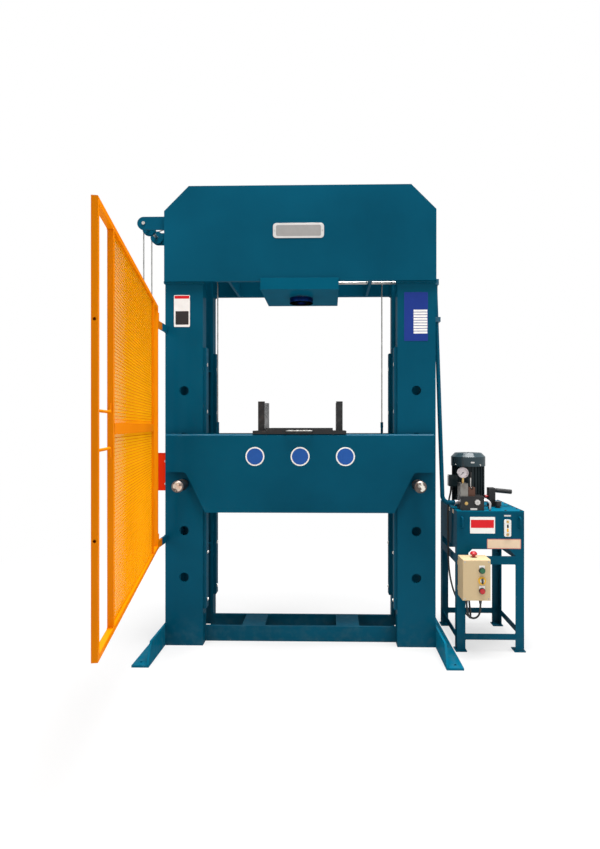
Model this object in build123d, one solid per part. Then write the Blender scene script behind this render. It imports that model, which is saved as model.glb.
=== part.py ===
from build123d import *
import math
import os

# Workshop H-frame press with a winch-raised bed, a hinged mesh guard and a power pack.
# Millimetres: X to the right, Y to the back, Z up, with the floor at Z zero.

# General
cut_overrun = 5.0
running_fit = 0.05
rolling_gap = 0.4

# Uprights: four channels, webs to the front and the back
press_width = 1640.0
press_depth = 380.0
upright_width = 230.0
upright_depth = 90.0
upright_height = 2620.0
upright_web = 14.0
upright_flange = 16.0
pin_radius = 28.5
pin_clearance = 0.3
hole_count = 5
hole_first = 414.0
hole_pitch = 284.0
rib_thickness = 10.0
strip_proud = 18.0
strip_width = 60.0
strip_bottom = 220.0
strip_height = 1594.0

# Head
head_bottom = 2209.0
head_height = 576.0
head_plate = 25.0
head_chamfer = 150.0
diaphragm_x = 430.0
diaphragm_plate = 16.0
diaphragm_height = 431.0
mount_width = 470.0
mount_thickness = 69.0
mount_sunk = 14.0
mount_lip = 15.0

# Cylinder and ram
bore_radius = 110.0
cylinder_wall = 25.0
cylinder_depth = 417.0
cap_thickness = 40.0
ram_radius = 75.0
ram_proud = 34.0
ram_recess_radius = 34.0
ram_recess_depth = 12.0
piston_height = 60.0
piston_gap = 5.0

# Hydraulic line from the cylinder to the power pack
port_radius = 18.0
port_length = 14.0
port_height = 27.0
steel_pipe_radius = 9.0
pipe_hole_clearance = 2.0
line_radius = 13.0
line_bend = 45.0
line_offset = 36.0
line_slope = 12.0
line_forward = 150.0
line_lead = 52.0
line_rise = 35.0
line_knee = 62.0
elbow_size = 36.0
nut_radius = 19.0
nut_length = 18.0
clamp_drop = 243.0
clamp_height = 30.0
clamp_strap = 8.0
clamp_foot = 40.0
clamp_bite = 22.0
clamp_clearance = 0.4

# Base
base_height = 93.0
base_bar = 20.0
base_inset = 75.0
cross_inner = 222.0
cross_width = 144.0
cross_plate = 12.0

# Feet: angles along the outer sides
foot_height = 125.0
foot_width = 95.0
foot_plate = 12.0
foot_length = 1000.0
foot_taper = 59.0
foot_tip = 15.0
foot_hole_radius = 7.5
foot_hole_side = 39.0
foot_hole_end = 45.0

# Bed
bed_top = 1287.0
bed_height = 472.0
bed_plate = 40.0
bed_clearance = 1.0
bed_inset = 15.0
bed_bevel = 10.0
ear_depth = 230.0
ear_root = 97.0
ear_fillet = 30.0
bed_foot_inset = 23.0
bed_rib = 25.0
bed_rib_margin = 35.0
bed_rib_x = 190.0
guide_clearance = 2.0

# Locating pins, resting in the third row of holes
pin_row = 2
pin_head_radius = 35.0
pin_head_length = 109.0
pin_head_gap = 5.0
pin_tail = 15.0
pin_chamfer = 8.0

# Vee blocks and press plate
plate_width = 400.0
plate_thickness = 36.0
plate_seat_gap = 1.0
vee_flange_width = 80.0
vee_flange = 20.0
vee_plate = 40.0
vee_depth = 266.0
vee_height = 200.0
vee_notch = 104.0
vee_land = 20.0
handle_length = 155.0
handle_reach = 26.0
handle_radius = 6.0
handle_bend = 12.0

# Hoist: winch, sheaves and ropes
rope_radius = 4.0
rope_side = 78.0
drop_x = 522.0
sheave_pitch = 35.0
sheave_rim = 41.0
sheave_width = 16.0
shaft_radius = 10.0
outer_sheave_x = 955.5
outer_sheave_drop = 46.0
head_sheave_drop = 65.0
bracket_half = 39.5
bracket_plate = 10.0
bracket_front = 7.0
shaft_end = 7.0
anchor_width = 14.0
anchor_breadth = 24.0
anchor_rise = 38.0
anchor_arm = 28.0
socket_radius = 9.0
socket_length = 35.0
winch_reach = 220.0
winch_height = 224.0
winch_middle = 1045.0
winch_half = 110.0
winch_plate = 6.0
winch_corner = 40.0
drum_core = 39.6
drum_flange = 75.0
drum_flange_width = 8.0
drum_shaft_radius = 12.0
drum_end_gap = 4.0
wrap_width = 23.0
wrap_gap = 1.0
gear_case_depth = 60.0
gear_case_width = 160.0
gear_case_height = 120.0
crank_shaft_radius = 9.0
crank_shaft_length = 30.0
crank_length = 180.0
crank_width = 26.0
crank_plate = 8.0
crank_pin_radius = 6.0
grip_radius = 15.0
grip_length = 90.0

# Guard: square tube and welded mesh, standing open
guard_width = 1541.0
guard_height = 1392.0
guard_bottom = 630.0
guard_tube = 20.0
guard_wall = 2.0
guard_open = 79.0
guard_front_bay = 210.0
post_hole_radius = 5.0
post_hole_low = 362.0
post_hole_rise = 662.0
guard_rear_bay = 165.0
hinge_standoff = 182.0
hinge_edge = 6.0
hinge_low = 672.0
hinge_high = 1945.0
hinge_post_gap = 17.5
hinge_barrel = 13.0
hinge_pin = 6.0
hinge_eye = 42.0
hinge_lap = 0.3
hinge_arm = 12.0
hinge_leaf = 8.0
wire_size = 2.5
wire_pitch = 12.5
wire_spacing = 25.0
pull_rod_radius = 5.0
pull_rod_spacing = 122.0
pull_rod_turn = 30.0
pull_rod_bend = 10.0
pull_rod_lift = 5.0

# Power pack stand and tank
pack_gap = 115.0
pack_front = 245.0
pack_width = 395.0
pack_depth = 470.0
leg_width = 50.0
leg_wall = 5.0
foot_pad = 6.0
foot_pad_over = 8.0
tank_bottom = 606.0
tank_height = 221.0
tank_wall = 3.0
lid_thickness = 6.0
upper_rail_bottom = 516.0
upper_rail_height = 49.0
lower_rail_bottom = 70.0
lower_rail_height = 35.0
gusset = 40.0
ear_rod = 6.0
ear_bend = 12.0
ear_reach = 25.0
ear_span = 60.0
ear_inset = 28.0
ear_drop = 32.0

# Motor, standing on the tank lid
motor_x = 122.0
motor_y = 225.0
motor_flange_radius = 86.0
motor_flange_height = 20.0
motor_radius = 92.0
motor_height = 237.0
fin_count = 28
fin_height = 8.0
fin_width = 5.0
cowl_radius = 105.0
cowl_height = 82.0
cowl_lap = 5.0
cowl_chamfer = 24.0
cowl_wall = 3.0
cowl_slots = 10
cowl_slot_width = 8.0
cowl_hub = 24.0
motor_shaft = 12.0
fan_radius = 84.0
fan_blades = 7
fan_blade = 4.0
fan_height = 30.0
fan_lift = 12.0
terminal_width = 40.0
terminal_depth = 32.0
terminal_height = 70.0
terminal_lift = 107.0
terminal_side = 40.0

# Manifold, valves and gauge in front of the motor
manifold_x = 26.0
manifold_y = 10.0
manifold_width = 137.0
manifold_depth = 100.0
manifold_height = 83.0
block_width = 45.0
block_depth = 75.0
block_height = 76.0
block_gap = 4.0
spool_width = 40.0
spool_depth = 60.0
spool_height = 52.0
spool_slot = 12.0
spool_slot_depth = 14.0
lever_radius = 4.0
lever_length = 96.0
lever_grip_radius = 7.0
lever_grip_length = 34.0
lever_pin = 3.0
gauge_radius = 31.5
gauge_depth = 28.0
gauge_rim = 4.0
gauge_recess = 8.0
gauge_stem = 7.0
gauge_stem_length = 30.0
needle_length = 20.0
needle_width = 2.4
needle_plate = 1.5
needle_hub = 3.5
needle_turn = 135.0
needle_tail_share = 1 / 3
dial_radius = 16.0
dial_depth = 14.0
dial_x = 95.0
dial_z = 50.0
dial_flutes = 8
flute_share = 0.12
return_radius = 10.0
return_bend = 24.0
return_reach = 47.0
return_height = 52.0

# Hand valve and filler on the lid
hand_valve_x = 235.0
hand_valve_y = 185.0
hand_valve_width = 40.0
hand_valve_depth = 50.0
hand_valve_height = 117.0
hand_slot = 20.0
hand_slot_depth = 40.0
hand_pivot_drop = 14.0
hand_pivot_radius = 5.0
hand_lever_length = 126.0
hand_lever_radius = 9.0
hand_grip_length = 96.0
hand_grip_radius = 14.0
hand_lever_drop = 12.0
filler_x = 280.0
filler_y = 125.0
filler_radius = 20.0
filler_height = 40.0
filler_neck = 14.0
filler_neck_height = 12.0
level_inset = 79.0
level_z = 76.0
level_width = 40.0
level_height = 101.0
level_depth = 9.0

# Control box on the left front leg
box_x = 3.0
box_width = 158.0
box_depth = 108.0
box_bottom = 341.0
box_height = 233.0
box_wall = 2.0
box_standoff = 10.0
box_strap_width = 35.0
box_strap_height = 26.0
cover_depth = 12.0
cover_round = 6.0
button_x = 108.0
button_top = 60.0
button_pitch = 58.0
button_radius = 14.0
button_depth = 10.0
stem_radius = 6.0
stem_length = 26.0
key_ring_radius = 22.0
key_knob_width = 9.0
key_knob_depth = 12.0
key_plate = 6.0
key_bar_share = 2 / 3
estop_x = 78.0
estop_radius = 20.0
estop_height = 16.0
estop_neck = 11.0
estop_crown_share = 2 / 3
estop_neck_height = 10.0
button_lift = 6.0

# Leads under the control box
gland_radius = 10.0
gland_length = 23.0
lead_radius = 5.5
gland_x = (36.0, 117.0)
gland_back = 55.0
lead_rise_share = 0.7
lead_bend_share = 0.45
lead_clear = 33.0
lead_off = 11.0

# Places worked out from the sizes above
outer_x = press_width / 2
inner_x = outer_x - upright_width
pin_x = outer_x - upright_width / 2
front_y = press_depth / 2
lip_y = front_y - upright_depth
head_top = head_bottom + head_height
outer_sheave_z = upright_height - outer_sheave_drop
head_sheave_z = head_top - head_sheave_drop
mount_top = head_bottom + mount_sunk
mount_bottom = mount_top - mount_thickness
cylinder_radius = bore_radius + cylinder_wall
bed_face = front_y + bed_clearance
bed_bottom = bed_top - bed_height
pin_z = hole_first + pin_row * hole_pitch
hole_radius = pin_radius + pin_clearance
port_z = mount_top + port_height
rope_out_x = outer_sheave_x + sheave_pitch
drum_pitch = drum_core + rolling_gap + rope_radius
drum_x = rope_out_x - drum_pitch
left_sheave_x = -drop_x - sheave_pitch
right_sheave_x = drop_x - sheave_pitch
anchor_top = bed_top + anchor_rise
hinge_x = -(outer_x - hinge_edge)
hinge_y = -(front_y + hinge_standoff)
pack_x = outer_x + pack_gap
pack_y = -pack_front
lid_z = tank_bottom + tank_height + lid_thickness
motor_axis_x = pack_x + motor_x
motor_axis_y = pack_y + motor_y
box_left = pack_x + box_x
box_back = pack_y - box_standoff
box_front = box_back - box_depth
cover_front = box_front - cover_depth
box_top = box_bottom + box_height


def block(x0, x1, y0, y1, z0, z1):
    """Box between two opposite corners."""
    middle = Pos((x0 + x1) / 2, (y0 + y1) / 2, (z0 + z1) / 2)
    return middle * Box(abs(x1 - x0), abs(y1 - y0), abs(z1 - z0))


def rod(start, end, radius):
    """Round bar from one point to another."""
    a, b = Vector(start), Vector(end)
    place = Plane(origin=a, z_dir=b - a)
    return place * Cylinder(radius, (b - a).length, align=(Align.CENTER, Align.CENTER, Align.MIN))


def bent_rod(points, bend, radius):
    """Round bar along straight runs joined by tangent arcs."""
    path = FilletPolyline(*points, radius=bend)
    return sweep(Plane(origin=path @ 0, z_dir=path % 0) * Circle(radius), path=path)


def plate_xz(points, y0, y1):
    """Flat plate with its outline in X and Z, between two depths."""
    face = Plane.XZ * make_face(Polyline(*points, close=True))
    return Pos(0, y0, 0) * extrude(face, amount=y1 - y0, dir=(0, 1, 0))


def plate_yz(points, x0, x1):
    """Flat plate with its outline in Y and Z, between two places along X."""
    face = Plane.YZ * make_face(Polyline(*points, close=True))
    return Pos(x0, 0, 0) * extrude(face, amount=x1 - x0, dir=(1, 0, 0))


def turned(points, place):
    """Solid of revolution from (radius, height) points, its axis along the place's Z."""
    face = Plane.XZ * make_face(Polyline(*points, close=True))
    return place * revolve(face, axis=Axis.Z)


def save(name, *solids):
    """Write one node, as a single solid or as a group of separate ones."""
    pieces = []
    for item in solids:
        pieces.extend(item.solids())
    shape = pieces[0] if len(pieces) == 1 else Compound(children=pieces)
    export_step(shape, f"parts/{name}.step")


# Uprights

def upright(side, face):
    """Channel with its web at the outer face and a row of pin holes."""
    web = face * front_y
    lip = face * lip_y
    channel = block(side * inner_x, side * outer_x, web, lip, 0, upright_height)
    pocket_in = side * (inner_x + upright_flange)
    pocket_out = side * (outer_x - upright_flange)
    pocket_web = face * (front_y - upright_web)
    pocket_lip = face * (lip_y - cut_overrun)
    channel -= block(pocket_in, pocket_out, pocket_web, pocket_lip, -cut_overrun,
                     upright_height + cut_overrun)
    for row in range(hole_count):
        z = hole_first + row * hole_pitch
        hole_end = face * (front_y + cut_overrun)
        channel -= rod((side * pin_x, hole_end, z), (side * pin_x, pocket_lip, z), hole_radius)
    return channel


def upright_ribs(side, face):
    """Stiffeners welded across a channel, midway between its holes."""
    ribs = []
    for row in range(hole_count):
        z = hole_first + (row + 1 / 2) * hole_pitch
        x0 = side * (inner_x + upright_flange)
        x1 = side * (outer_x - upright_flange)
        y0 = face * (front_y - upright_web)
        ribs.append(block(x0, x1, y0, face * lip_y, z, z + rib_thickness))
    return ribs


def guide_strip(side, face):
    """Flat bar on the inner flange that guides the bed."""
    middle = face * (front_y + lip_y) / 2
    x0 = side * (inner_x - strip_proud)
    half = strip_width / 2
    return block(x0, side * inner_x, middle - half, middle + half, strip_bottom,
                 strip_bottom + strip_height)


# Head

def head_plate_outline():
    """Chamfered plate outline, notched below for the cylinder mount."""
    half = mount_width / 2
    shoulder = head_top - head_chamfer
    right = [(half, mount_top), (half, head_bottom), (outer_x, head_bottom), (outer_x, shoulder)]
    right.append((outer_x - head_chamfer, head_top))
    left = [(-x, z) for x, z in reversed(right)]
    return right + left


def head_plates():
    """Front and back plates lapped over the uprights, with two diaphragms between."""
    outline = head_plate_outline()
    front = plate_xz(outline, -front_y - head_plate, -front_y)
    back = plate_xz(outline, front_y, front_y + head_plate)
    walls = []
    for side in (-1, 1):
        x0 = side * diaphragm_x - diaphragm_plate / 2
        wall = block(x0, x0 + diaphragm_plate, -front_y, front_y, head_bottom,
                     head_bottom + diaphragm_height)
        hole = steel_pipe_radius + pipe_hole_clearance
        if side > 0:
            wall -= rod((x0 - cut_overrun, 0, port_z), (x0 + diaphragm_plate + cut_overrun, 0,
                                                        port_z), hole)
        walls.append(wall)
    return [front, back] + walls


def cylinder_mount():
    """Thick plate let into the head that carries the cylinder and guides the ram."""
    half_x = mount_width / 2
    half_y = front_y + head_plate + mount_lip
    plate = block(-half_x, half_x, -half_y, half_y, mount_bottom, mount_top)
    bottom, top = mount_bottom - cut_overrun, mount_top + cut_overrun
    return plate - rod((0, 0, bottom), (0, 0, top), ram_radius + running_fit)


def cylinder():
    """Closed barrel standing on the mount plate, with a pipe port at its foot."""
    top = mount_top + cylinder_depth
    barrel = rod((0, 0, mount_top), (0, 0, top + cap_thickness), cylinder_radius)
    barrel += rod((bore_radius, 0, port_z), (cylinder_radius + port_length, 0, port_z), port_radius)
    return barrel - rod((0, 0, mount_top - cut_overrun), (0, 0, top), bore_radius)


def ram():
    """Piston and rod, with a shallow socket in the nose."""
    nose = mount_bottom - ram_proud
    piston_top = mount_top + cylinder_depth - piston_gap
    piston_foot = piston_top - piston_height
    body = rod((0, 0, nose), (0, 0, piston_foot), ram_radius)
    body += rod((0, 0, piston_foot), (0, 0, piston_top), bore_radius - running_fit)
    return body - rod((0, 0, nose - cut_overrun), (0, 0, nose + ram_recess_depth), ram_recess_radius)


# Hydraulic line

line_x = outer_x + line_offset
line_foot_x = line_x + line_slope
line_top = port_z - elbow_size / 2
line_end_z = lid_z + line_rise
line_knee_z = line_end_z + line_knee
line_end_x = pack_x + manifold_x - nut_length


def head_pipe():
    """Steel pipe from the cylinder port along the head to its right end."""
    return rod((cylinder_radius + port_length, 0, port_z), (line_x - elbow_size / 2, 0, port_z),
               steel_pipe_radius)


def pressure_pipe():
    """Painted pipe down the outside of the right upright and over to the tank."""
    run = [(line_x, 0, line_top), (line_x, 0, line_top - line_lead)]
    run += [(line_foot_x, -line_forward, line_knee_z), (line_foot_x, -line_forward, line_end_z)]
    run.append((line_end_x, -line_forward, line_end_z))
    return bent_rod(run, line_bend, line_radius)


def line_place(z):
    """Where the painted pipe crosses a height on its sloping run."""
    start = line_top - line_lead
    share = (start - z) / (start - line_knee_z)
    return line_x + line_slope * share, -line_forward * share


def pipe_fittings():
    """Elbow at the head, clamp on the upright, nut at the manifold and return bend on the lid."""
    half = elbow_size / 2
    elbow = block(line_x - half, line_x + half, -half, half, port_z - half, port_z + half)
    z = port_z - clamp_drop
    x, y = line_place(z)
    low, high = z - clamp_height / 2, z + clamp_height / 2
    clamp = block(outer_x, x + clamp_bite, y - clamp_bite, y + clamp_bite, low, high)
    clamp += block(outer_x, outer_x + clamp_strap, -lip_y - clamp_foot, y, low, high)
    foot, head = low - cut_overrun, high + cut_overrun
    clamp -= rod((*line_place(foot), foot), (*line_place(head), head), line_radius + clamp_clearance)
    nut = rod((line_end_x, -line_forward, line_end_z), (line_end_x + nut_length, -line_forward,
                                                        line_end_z), nut_radius)
    side_x = pack_x + manifold_x + manifold_width
    side_y = pack_y + manifold_y + manifold_depth / 2
    z = lid_z + return_height
    bend = [(side_x, side_y, z), (side_x + return_reach, side_y, z), (side_x + return_reach, side_y,
                                                                      lid_z)]
    return [elbow, clamp, nut, bent_rod(bend, return_bend, return_radius)]


# Base and feet

def base_frame():
    """Two bars between the uprights and two cross plates flush with their tops."""
    pieces = []
    bar_face = front_y - base_inset
    bar_back = bar_face - base_bar
    for face in (-1, 1):
        pieces.append(block(-inner_x, inner_x, face * bar_face, face * bar_back, 0, base_height))
    for side in (-1, 1):
        x0, x1 = side * cross_inner, side * (cross_inner + cross_width)
        pieces.append(block(x0, x1, -bar_back, bar_back, base_height - cross_plate, base_height))
    return pieces


def foot(side):
    """Angle on the floor along an upright pair, its upright leg tapered at both ends."""
    half = foot_length / 2
    full = half - foot_taper
    outline = [(-half, 0), (half, 0), (half, foot_tip), (full, foot_height), (-full, foot_height),
               (-half, foot_tip)]
    leg = plate_yz(outline, side * outer_x, side * (outer_x + foot_plate))
    leg += block(side * outer_x, side * (outer_x + foot_width), -half, half, 0, foot_plate)
    hole_x = side * (outer_x + foot_width - foot_hole_side)
    for end in (-1, 1):
        y = end * (half - foot_hole_end)
        leg -= rod((hole_x, y, -cut_overrun), (hole_x, y, foot_plate + cut_overrun), foot_hole_radius)
    return leg


# Bed

def bed_outline():
    """Plate outline with an ear over each pin and a tapered belly."""
    half = outer_x - bed_inset
    ear_z = bed_top - ear_depth
    right = [(inner_x - bed_foot_inset, bed_bottom), (inner_x + ear_root, ear_z), (half, ear_z),
             (half, bed_top)]
    left = [(-x, z) for x, z in reversed(right)]
    return right + left


def bed_side(face):
    """One bed plate outside the uprights, rounded at the ears and bevelled on its top edge."""
    y0, y1 = sorted((face * bed_face, face * (bed_face + bed_plate)))
    plate = plate_xz(bed_outline(), y0, y1)
    root = inner_x + ear_root
    corners = [e for e in plate.edges().filter_by(Axis.Y) if math.isclose(abs(e.center().X), root)]
    plate = fillet(corners, ear_fillet)
    outside = face * (bed_face + bed_plate)
    tops = [e for e in plate.edges().filter_by(Axis.X) if math.isclose(e.center().Z, bed_top)]
    rim = [e for e in tops if math.isclose(e.center().Y, outside)]
    return chamfer(rim, bed_bevel)


def bed_ribs():
    """Spreaders between the bed plates; the end ones run beside the guide strips."""
    ribs = []
    end = inner_x - strip_proud - guide_clearance
    for side in (-1, 1):
        for x0 in (end - bed_rib, bed_rib_x - bed_rib / 2):
            span = (side * x0, side * (x0 + bed_rib))
            ribs.append(block(*span, -bed_face, bed_face, bed_bottom + bed_rib_margin,
                              bed_top - bed_rib_margin))
    return ribs


def rope_anchor(side):
    """Cranked lug on an end spreader with the rope socket on top."""
    y = side * rope_side
    half = anchor_breadth / 2
    rib_face = inner_x - strip_proud - guide_clearance - bed_rib
    rib_top = bed_top - bed_rib_margin
    inside = drop_x - anchor_width / 2
    outside = drop_x + anchor_width / 2
    lug = block(side * inside, side * outside, y - half, y + half, rib_top - anchor_arm, anchor_top)
    lug += block(side * outside, side * rib_face, y - half, y + half, rib_top - anchor_arm, rib_top)
    return lug + rod((side * drop_x, y, anchor_top), (side * drop_x, y, anchor_top + socket_length),
                     socket_radius)


def locating_pin(side):
    """Round pin through both channels, with a thicker chamfered head in front of the bed."""
    head_back = -(bed_face + bed_plate + pin_head_gap)
    head_front = head_back - pin_head_length
    tail = bed_face + bed_plate + pin_tail
    flat = pin_head_radius - pin_chamfer
    length = -head_front
    outline = [(0, -length), (flat, -length), (pin_head_radius, pin_chamfer - length)]
    outline += [(pin_head_radius, head_back), (pin_radius, head_back), (pin_radius, tail), (0, tail)]
    place = Pos(side * pin_x, 0, pin_z) * Rot(-90, 0, 0)
    return turned(outline, place)


# Vee blocks and press plate

def vee_block(side):
    """Standing plate with a full-width vee, on a flange across both bed plates."""
    half = bed_face + bed_plate
    inner = plate_width / 2 + plate_seat_gap
    outer = inner + vee_flange_width
    flange_top = bed_top + vee_flange
    block_top = bed_top + vee_height
    flange = block(side * inner, side * outer, -half, half, bed_top, flange_top)
    edge = vee_depth / 2
    shoulder = edge - vee_land
    outline = [(-edge, flange_top), (edge, flange_top), (edge, block_top), (shoulder, block_top)]
    outline += [(0, block_top - vee_notch), (-shoulder, block_top), (-edge, block_top)]
    middle = (inner + outer) / 2
    return flange + plate_yz(outline, side * middle - vee_plate / 2, side * middle + vee_plate / 2)


def press_plate():
    """Loose plate across the bed, under the ram."""
    half_x = plate_width / 2
    half_y = bed_face + bed_plate
    return block(-half_x, half_x, -half_y, half_y, bed_top, bed_top + plate_thickness)


def plate_handle():
    """Bar handle on the front edge of the press plate."""
    y = -(bed_face + bed_plate)
    z = bed_top + plate_thickness / 2
    half = handle_length / 2
    run = [(-half, y, z), (-half, y - handle_reach, z), (half, y - handle_reach, z), (half, y, z)]
    return bent_rod(run, handle_bend, handle_radius)


# Hoist

def pulley_bracket(y0):
    """Flat arm with a round end that carries one end of the outer sheave shaft."""
    arm = block(-outer_sheave_x, -outer_x, y0, y0 + bracket_plate, outer_sheave_z - bracket_half,
                outer_sheave_z + bracket_half)
    arm += rod((-outer_sheave_x, y0, outer_sheave_z), (-outer_sheave_x, y0 + bracket_plate,
                                                       outer_sheave_z), bracket_half)
    back = y0 - cut_overrun
    front = y0 + bracket_plate + cut_overrun
    return arm - rod((-outer_sheave_x, back, outer_sheave_z), (-outer_sheave_x, front,
                                                               outer_sheave_z), shaft_radius)


bracket_places = (-front_y + bracket_front, lip_y)


def sheave_shafts():
    """Fixed shafts of the outer sheaves and of the two sheave places in the head."""
    shafts = []
    y0 = bracket_places[0] - shaft_end
    y1 = bracket_places[1] + bracket_plate + shaft_end
    shafts.append(rod((-outer_sheave_x, y0, outer_sheave_z), (-outer_sheave_x, y1, outer_sheave_z),
                      shaft_radius))
    for x in (left_sheave_x, right_sheave_x):
        shafts.append(rod((x, -front_y, head_sheave_z), (x, front_y, head_sheave_z), shaft_radius))
    return shafts


def sheave(x, y, z):
    """Grooved wheel on a fixed shaft."""
    half = sheave_width / 2
    floor = sheave_pitch - rope_radius - rolling_gap
    groove = rope_radius + rolling_gap
    mouth = groove + rolling_gap
    bore = shaft_radius + running_fit
    outline = [(bore, -half), (sheave_rim, -half), (sheave_rim, -mouth), (floor, -groove)]
    outline += [(floor, groove), (sheave_rim, mouth), (sheave_rim, half), (bore, half)]
    return turned(outline, Pos(x, y, z) * Rot(-90, 0, 0))


def hoist_path(y, last_x, low_z):
    """Rope line from the winch over the outer sheave and the head sheaves to its last tangent."""
    rise = math.atan2(head_sheave_z - outer_sheave_z, left_sheave_x + outer_sheave_x)
    lift = math.degrees(rise)
    outer = Vector(-outer_sheave_x, y, outer_sheave_z)
    left = Vector(left_sheave_x, y, head_sheave_z)
    last = Vector(last_x, y, head_sheave_z)

    def on(centre, angle):
        turn = math.radians(angle)
        return centre + Vector(sheave_pitch * math.cos(turn), 0, sheave_pitch * math.sin(turn))

    def arc(centre, start, end):
        return ThreePointArc(on(centre, start), on(centre, (start + end) / 2), on(centre, end))

    leave = 90 + lift
    runs = [Line((on(outer, 180).X, y, low_z), on(outer, 180)), arc(outer, 180, leave)]
    runs.append(Line(on(outer, leave), on(left, leave)))
    if last_x == left_sheave_x:
        runs.append(arc(left, leave, 0))
    else:
        runs += [arc(left, leave, 90), Line(on(left, 90), on(last, 90)), arc(last, 90, 0)]
    return Wire(runs)


def hoist_rope(y, last_x):
    """Rope from the winch drum to the top of its drop."""
    path = hoist_path(y, last_x, winch_middle)
    start = Plane(origin=path @ 0, z_dir=(0, 0, 1))
    return sweep(start * Circle(rope_radius), path=path)


def drop_rope(side):
    """Hanging length between the last sheave and the bed's rope socket."""
    place = (side * drop_x, side * rope_side)
    return rod((*place, anchor_top + socket_length), (*place, head_sheave_z), rope_radius)


def winch_cheek(y0):
    """Red side plate of the winch, rounded at its outer corners, bored for the drum shaft."""
    low = winch_middle - winch_height / 2
    high = winch_middle + winch_height / 2
    outline = [(-outer_x, low), (-outer_x, high), (-outer_x - winch_reach, high),
               (-outer_x - winch_reach, low)]
    plate = plate_xz(outline, y0, y0 + winch_plate)
    corners = [e for e in plate.edges().filter_by(Axis.Y) if math.isclose(e.center().X,
                                                                          -outer_x - winch_reach)]
    plate = fillet(corners, winch_corner)
    hole = drum_shaft_radius + running_fit
    return plate - rod((-drum_x, y0 - cut_overrun, winch_middle), (-drum_x,
                                                                   y0 + winch_plate + cut_overrun,
                                                                   winch_middle), hole)


gear_case_x = -outer_x - winch_reach + gear_case_width
gear_case_y = winch_half + gear_case_depth / 2


def winch_frame():
    """Two cheeks, a back plate on the upright and the closed gear case behind."""
    half = winch_height / 2
    back = block(-outer_x - winch_plate, -outer_x, winch_plate - winch_half, winch_half - winch_plate,
                 winch_middle - half, winch_middle + half)
    for y0 in (-winch_half, winch_half - winch_plate):
        back += winch_cheek(y0)
    deep = winch_half + gear_case_depth
    tall = gear_case_height / 2
    case = block(gear_case_x - gear_case_width, gear_case_x, winch_half, deep, winch_middle - tall,
                 winch_middle + tall)
    shaft_end_y = winch_half + drum_end_gap + running_fit
    case -= rod((-drum_x, winch_half - cut_overrun, winch_middle), (-drum_x, shaft_end_y, winch_middle),
                drum_shaft_radius + running_fit)
    outside = gear_case_x - gear_case_width
    depth = outside + crank_shaft_length
    case -= rod((outside - cut_overrun, gear_case_y, winch_middle), (depth, gear_case_y, winch_middle),
                crank_shaft_radius + running_fit)
    return [back, case]


def winch_drum():
    """Drum on its shaft, with two flanges, a divider and the wound rope of each side."""
    half = winch_half - winch_plate - drum_end_gap
    end = winch_half + drum_end_gap
    inner = half - drum_flange_width
    divider = drum_flange_width / 2
    wrap_end = rope_side - rope_radius - wrap_gap
    wrap_start = wrap_end - wrap_width
    wrap = drum_pitch + rope_radius
    right = [(drum_flange, divider), (drum_core, divider), (drum_core, wrap_start), (wrap, wrap_start)]
    right += [(wrap, wrap_end), (drum_core, wrap_end), (drum_core, inner), (drum_flange, inner)]
    right += [(drum_flange, half), (drum_shaft_radius, half), (drum_shaft_radius, end)]
    left = [(r, -y) for r, y in reversed(right)]
    outline = [(0, -end)] + left + right + [(0, end)]
    return turned(outline, Pos(-drum_x, 0, winch_middle) * Rot(-90, 0, 0))


crank_face = gear_case_x - gear_case_width - rolling_gap


def winch_crank():
    """Crank arm hanging from the winch shaft, with a fixed pin for its grip."""
    half = crank_width / 2
    y, z = gear_case_y, winch_middle
    x0, x1 = crank_face - crank_plate, crank_face
    arm = block(x0, x1, y - half, y + half, z - crank_length, z)
    arm += rod((x0, y, z), (x1, y, z), half)
    arm += rod((x0, y, z - crank_length), (x1, y, z - crank_length), half)
    arm += rod((crank_face, y, z), (crank_face + crank_shaft_length, y, z), crank_shaft_radius)
    end = x0 - grip_length - rolling_gap
    return arm + rod((x0, y, z - crank_length), (end, y, z - crank_length), crank_pin_radius)


def crank_grip():
    """Turned grip on the crank pin."""
    x1 = crank_face - crank_plate - rolling_gap
    z = winch_middle - crank_length
    grip = rod((x1 - grip_length, gear_case_y, z), (x1, gear_case_y, z), grip_radius)
    hole_end = x1 - grip_length - cut_overrun
    return grip - rod((hole_end, gear_case_y, z), (x1 + cut_overrun, gear_case_y, z),
                      crank_pin_radius + running_fit)


# Guard, drawn closed from its hinge axis along X and then swung open

def swung(shape):
    """Place a guard piece at its open position."""
    return Pos(hinge_x, hinge_y, 0) * Rot(0, 0, -guard_open) * shape


guard_top = guard_bottom + guard_height
guard_middle = guard_bottom + guard_height / 2
guard_post = hinge_post_gap + guard_tube
front_post = guard_width - guard_tube
rear_stile = guard_post + guard_rear_bay
front_stile = front_post - guard_front_bay - guard_tube
mesh_left = rear_stile + guard_tube


def tube_up(x0, z0, z1):
    """Upright square tube from one height to another."""
    half = guard_tube / 2
    tube = block(x0, x0 + guard_tube, -half, half, z0, z1)
    hollow = half - guard_wall
    return tube - block(x0 + guard_wall, x0 + guard_tube - guard_wall, -hollow, hollow,
                        z0 - cut_overrun, z1 + cut_overrun)


def tube_along(x0, x1, z0):
    """Level square tube from one place to another."""
    half = guard_tube / 2
    tube = block(x0, x1, -half, half, z0, z0 + guard_tube)
    hollow = half - guard_wall
    return tube - block(x0 - cut_overrun, x1 + cut_overrun, -hollow, hollow, z0 + guard_wall,
                        z0 + guard_tube - guard_wall)


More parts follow.
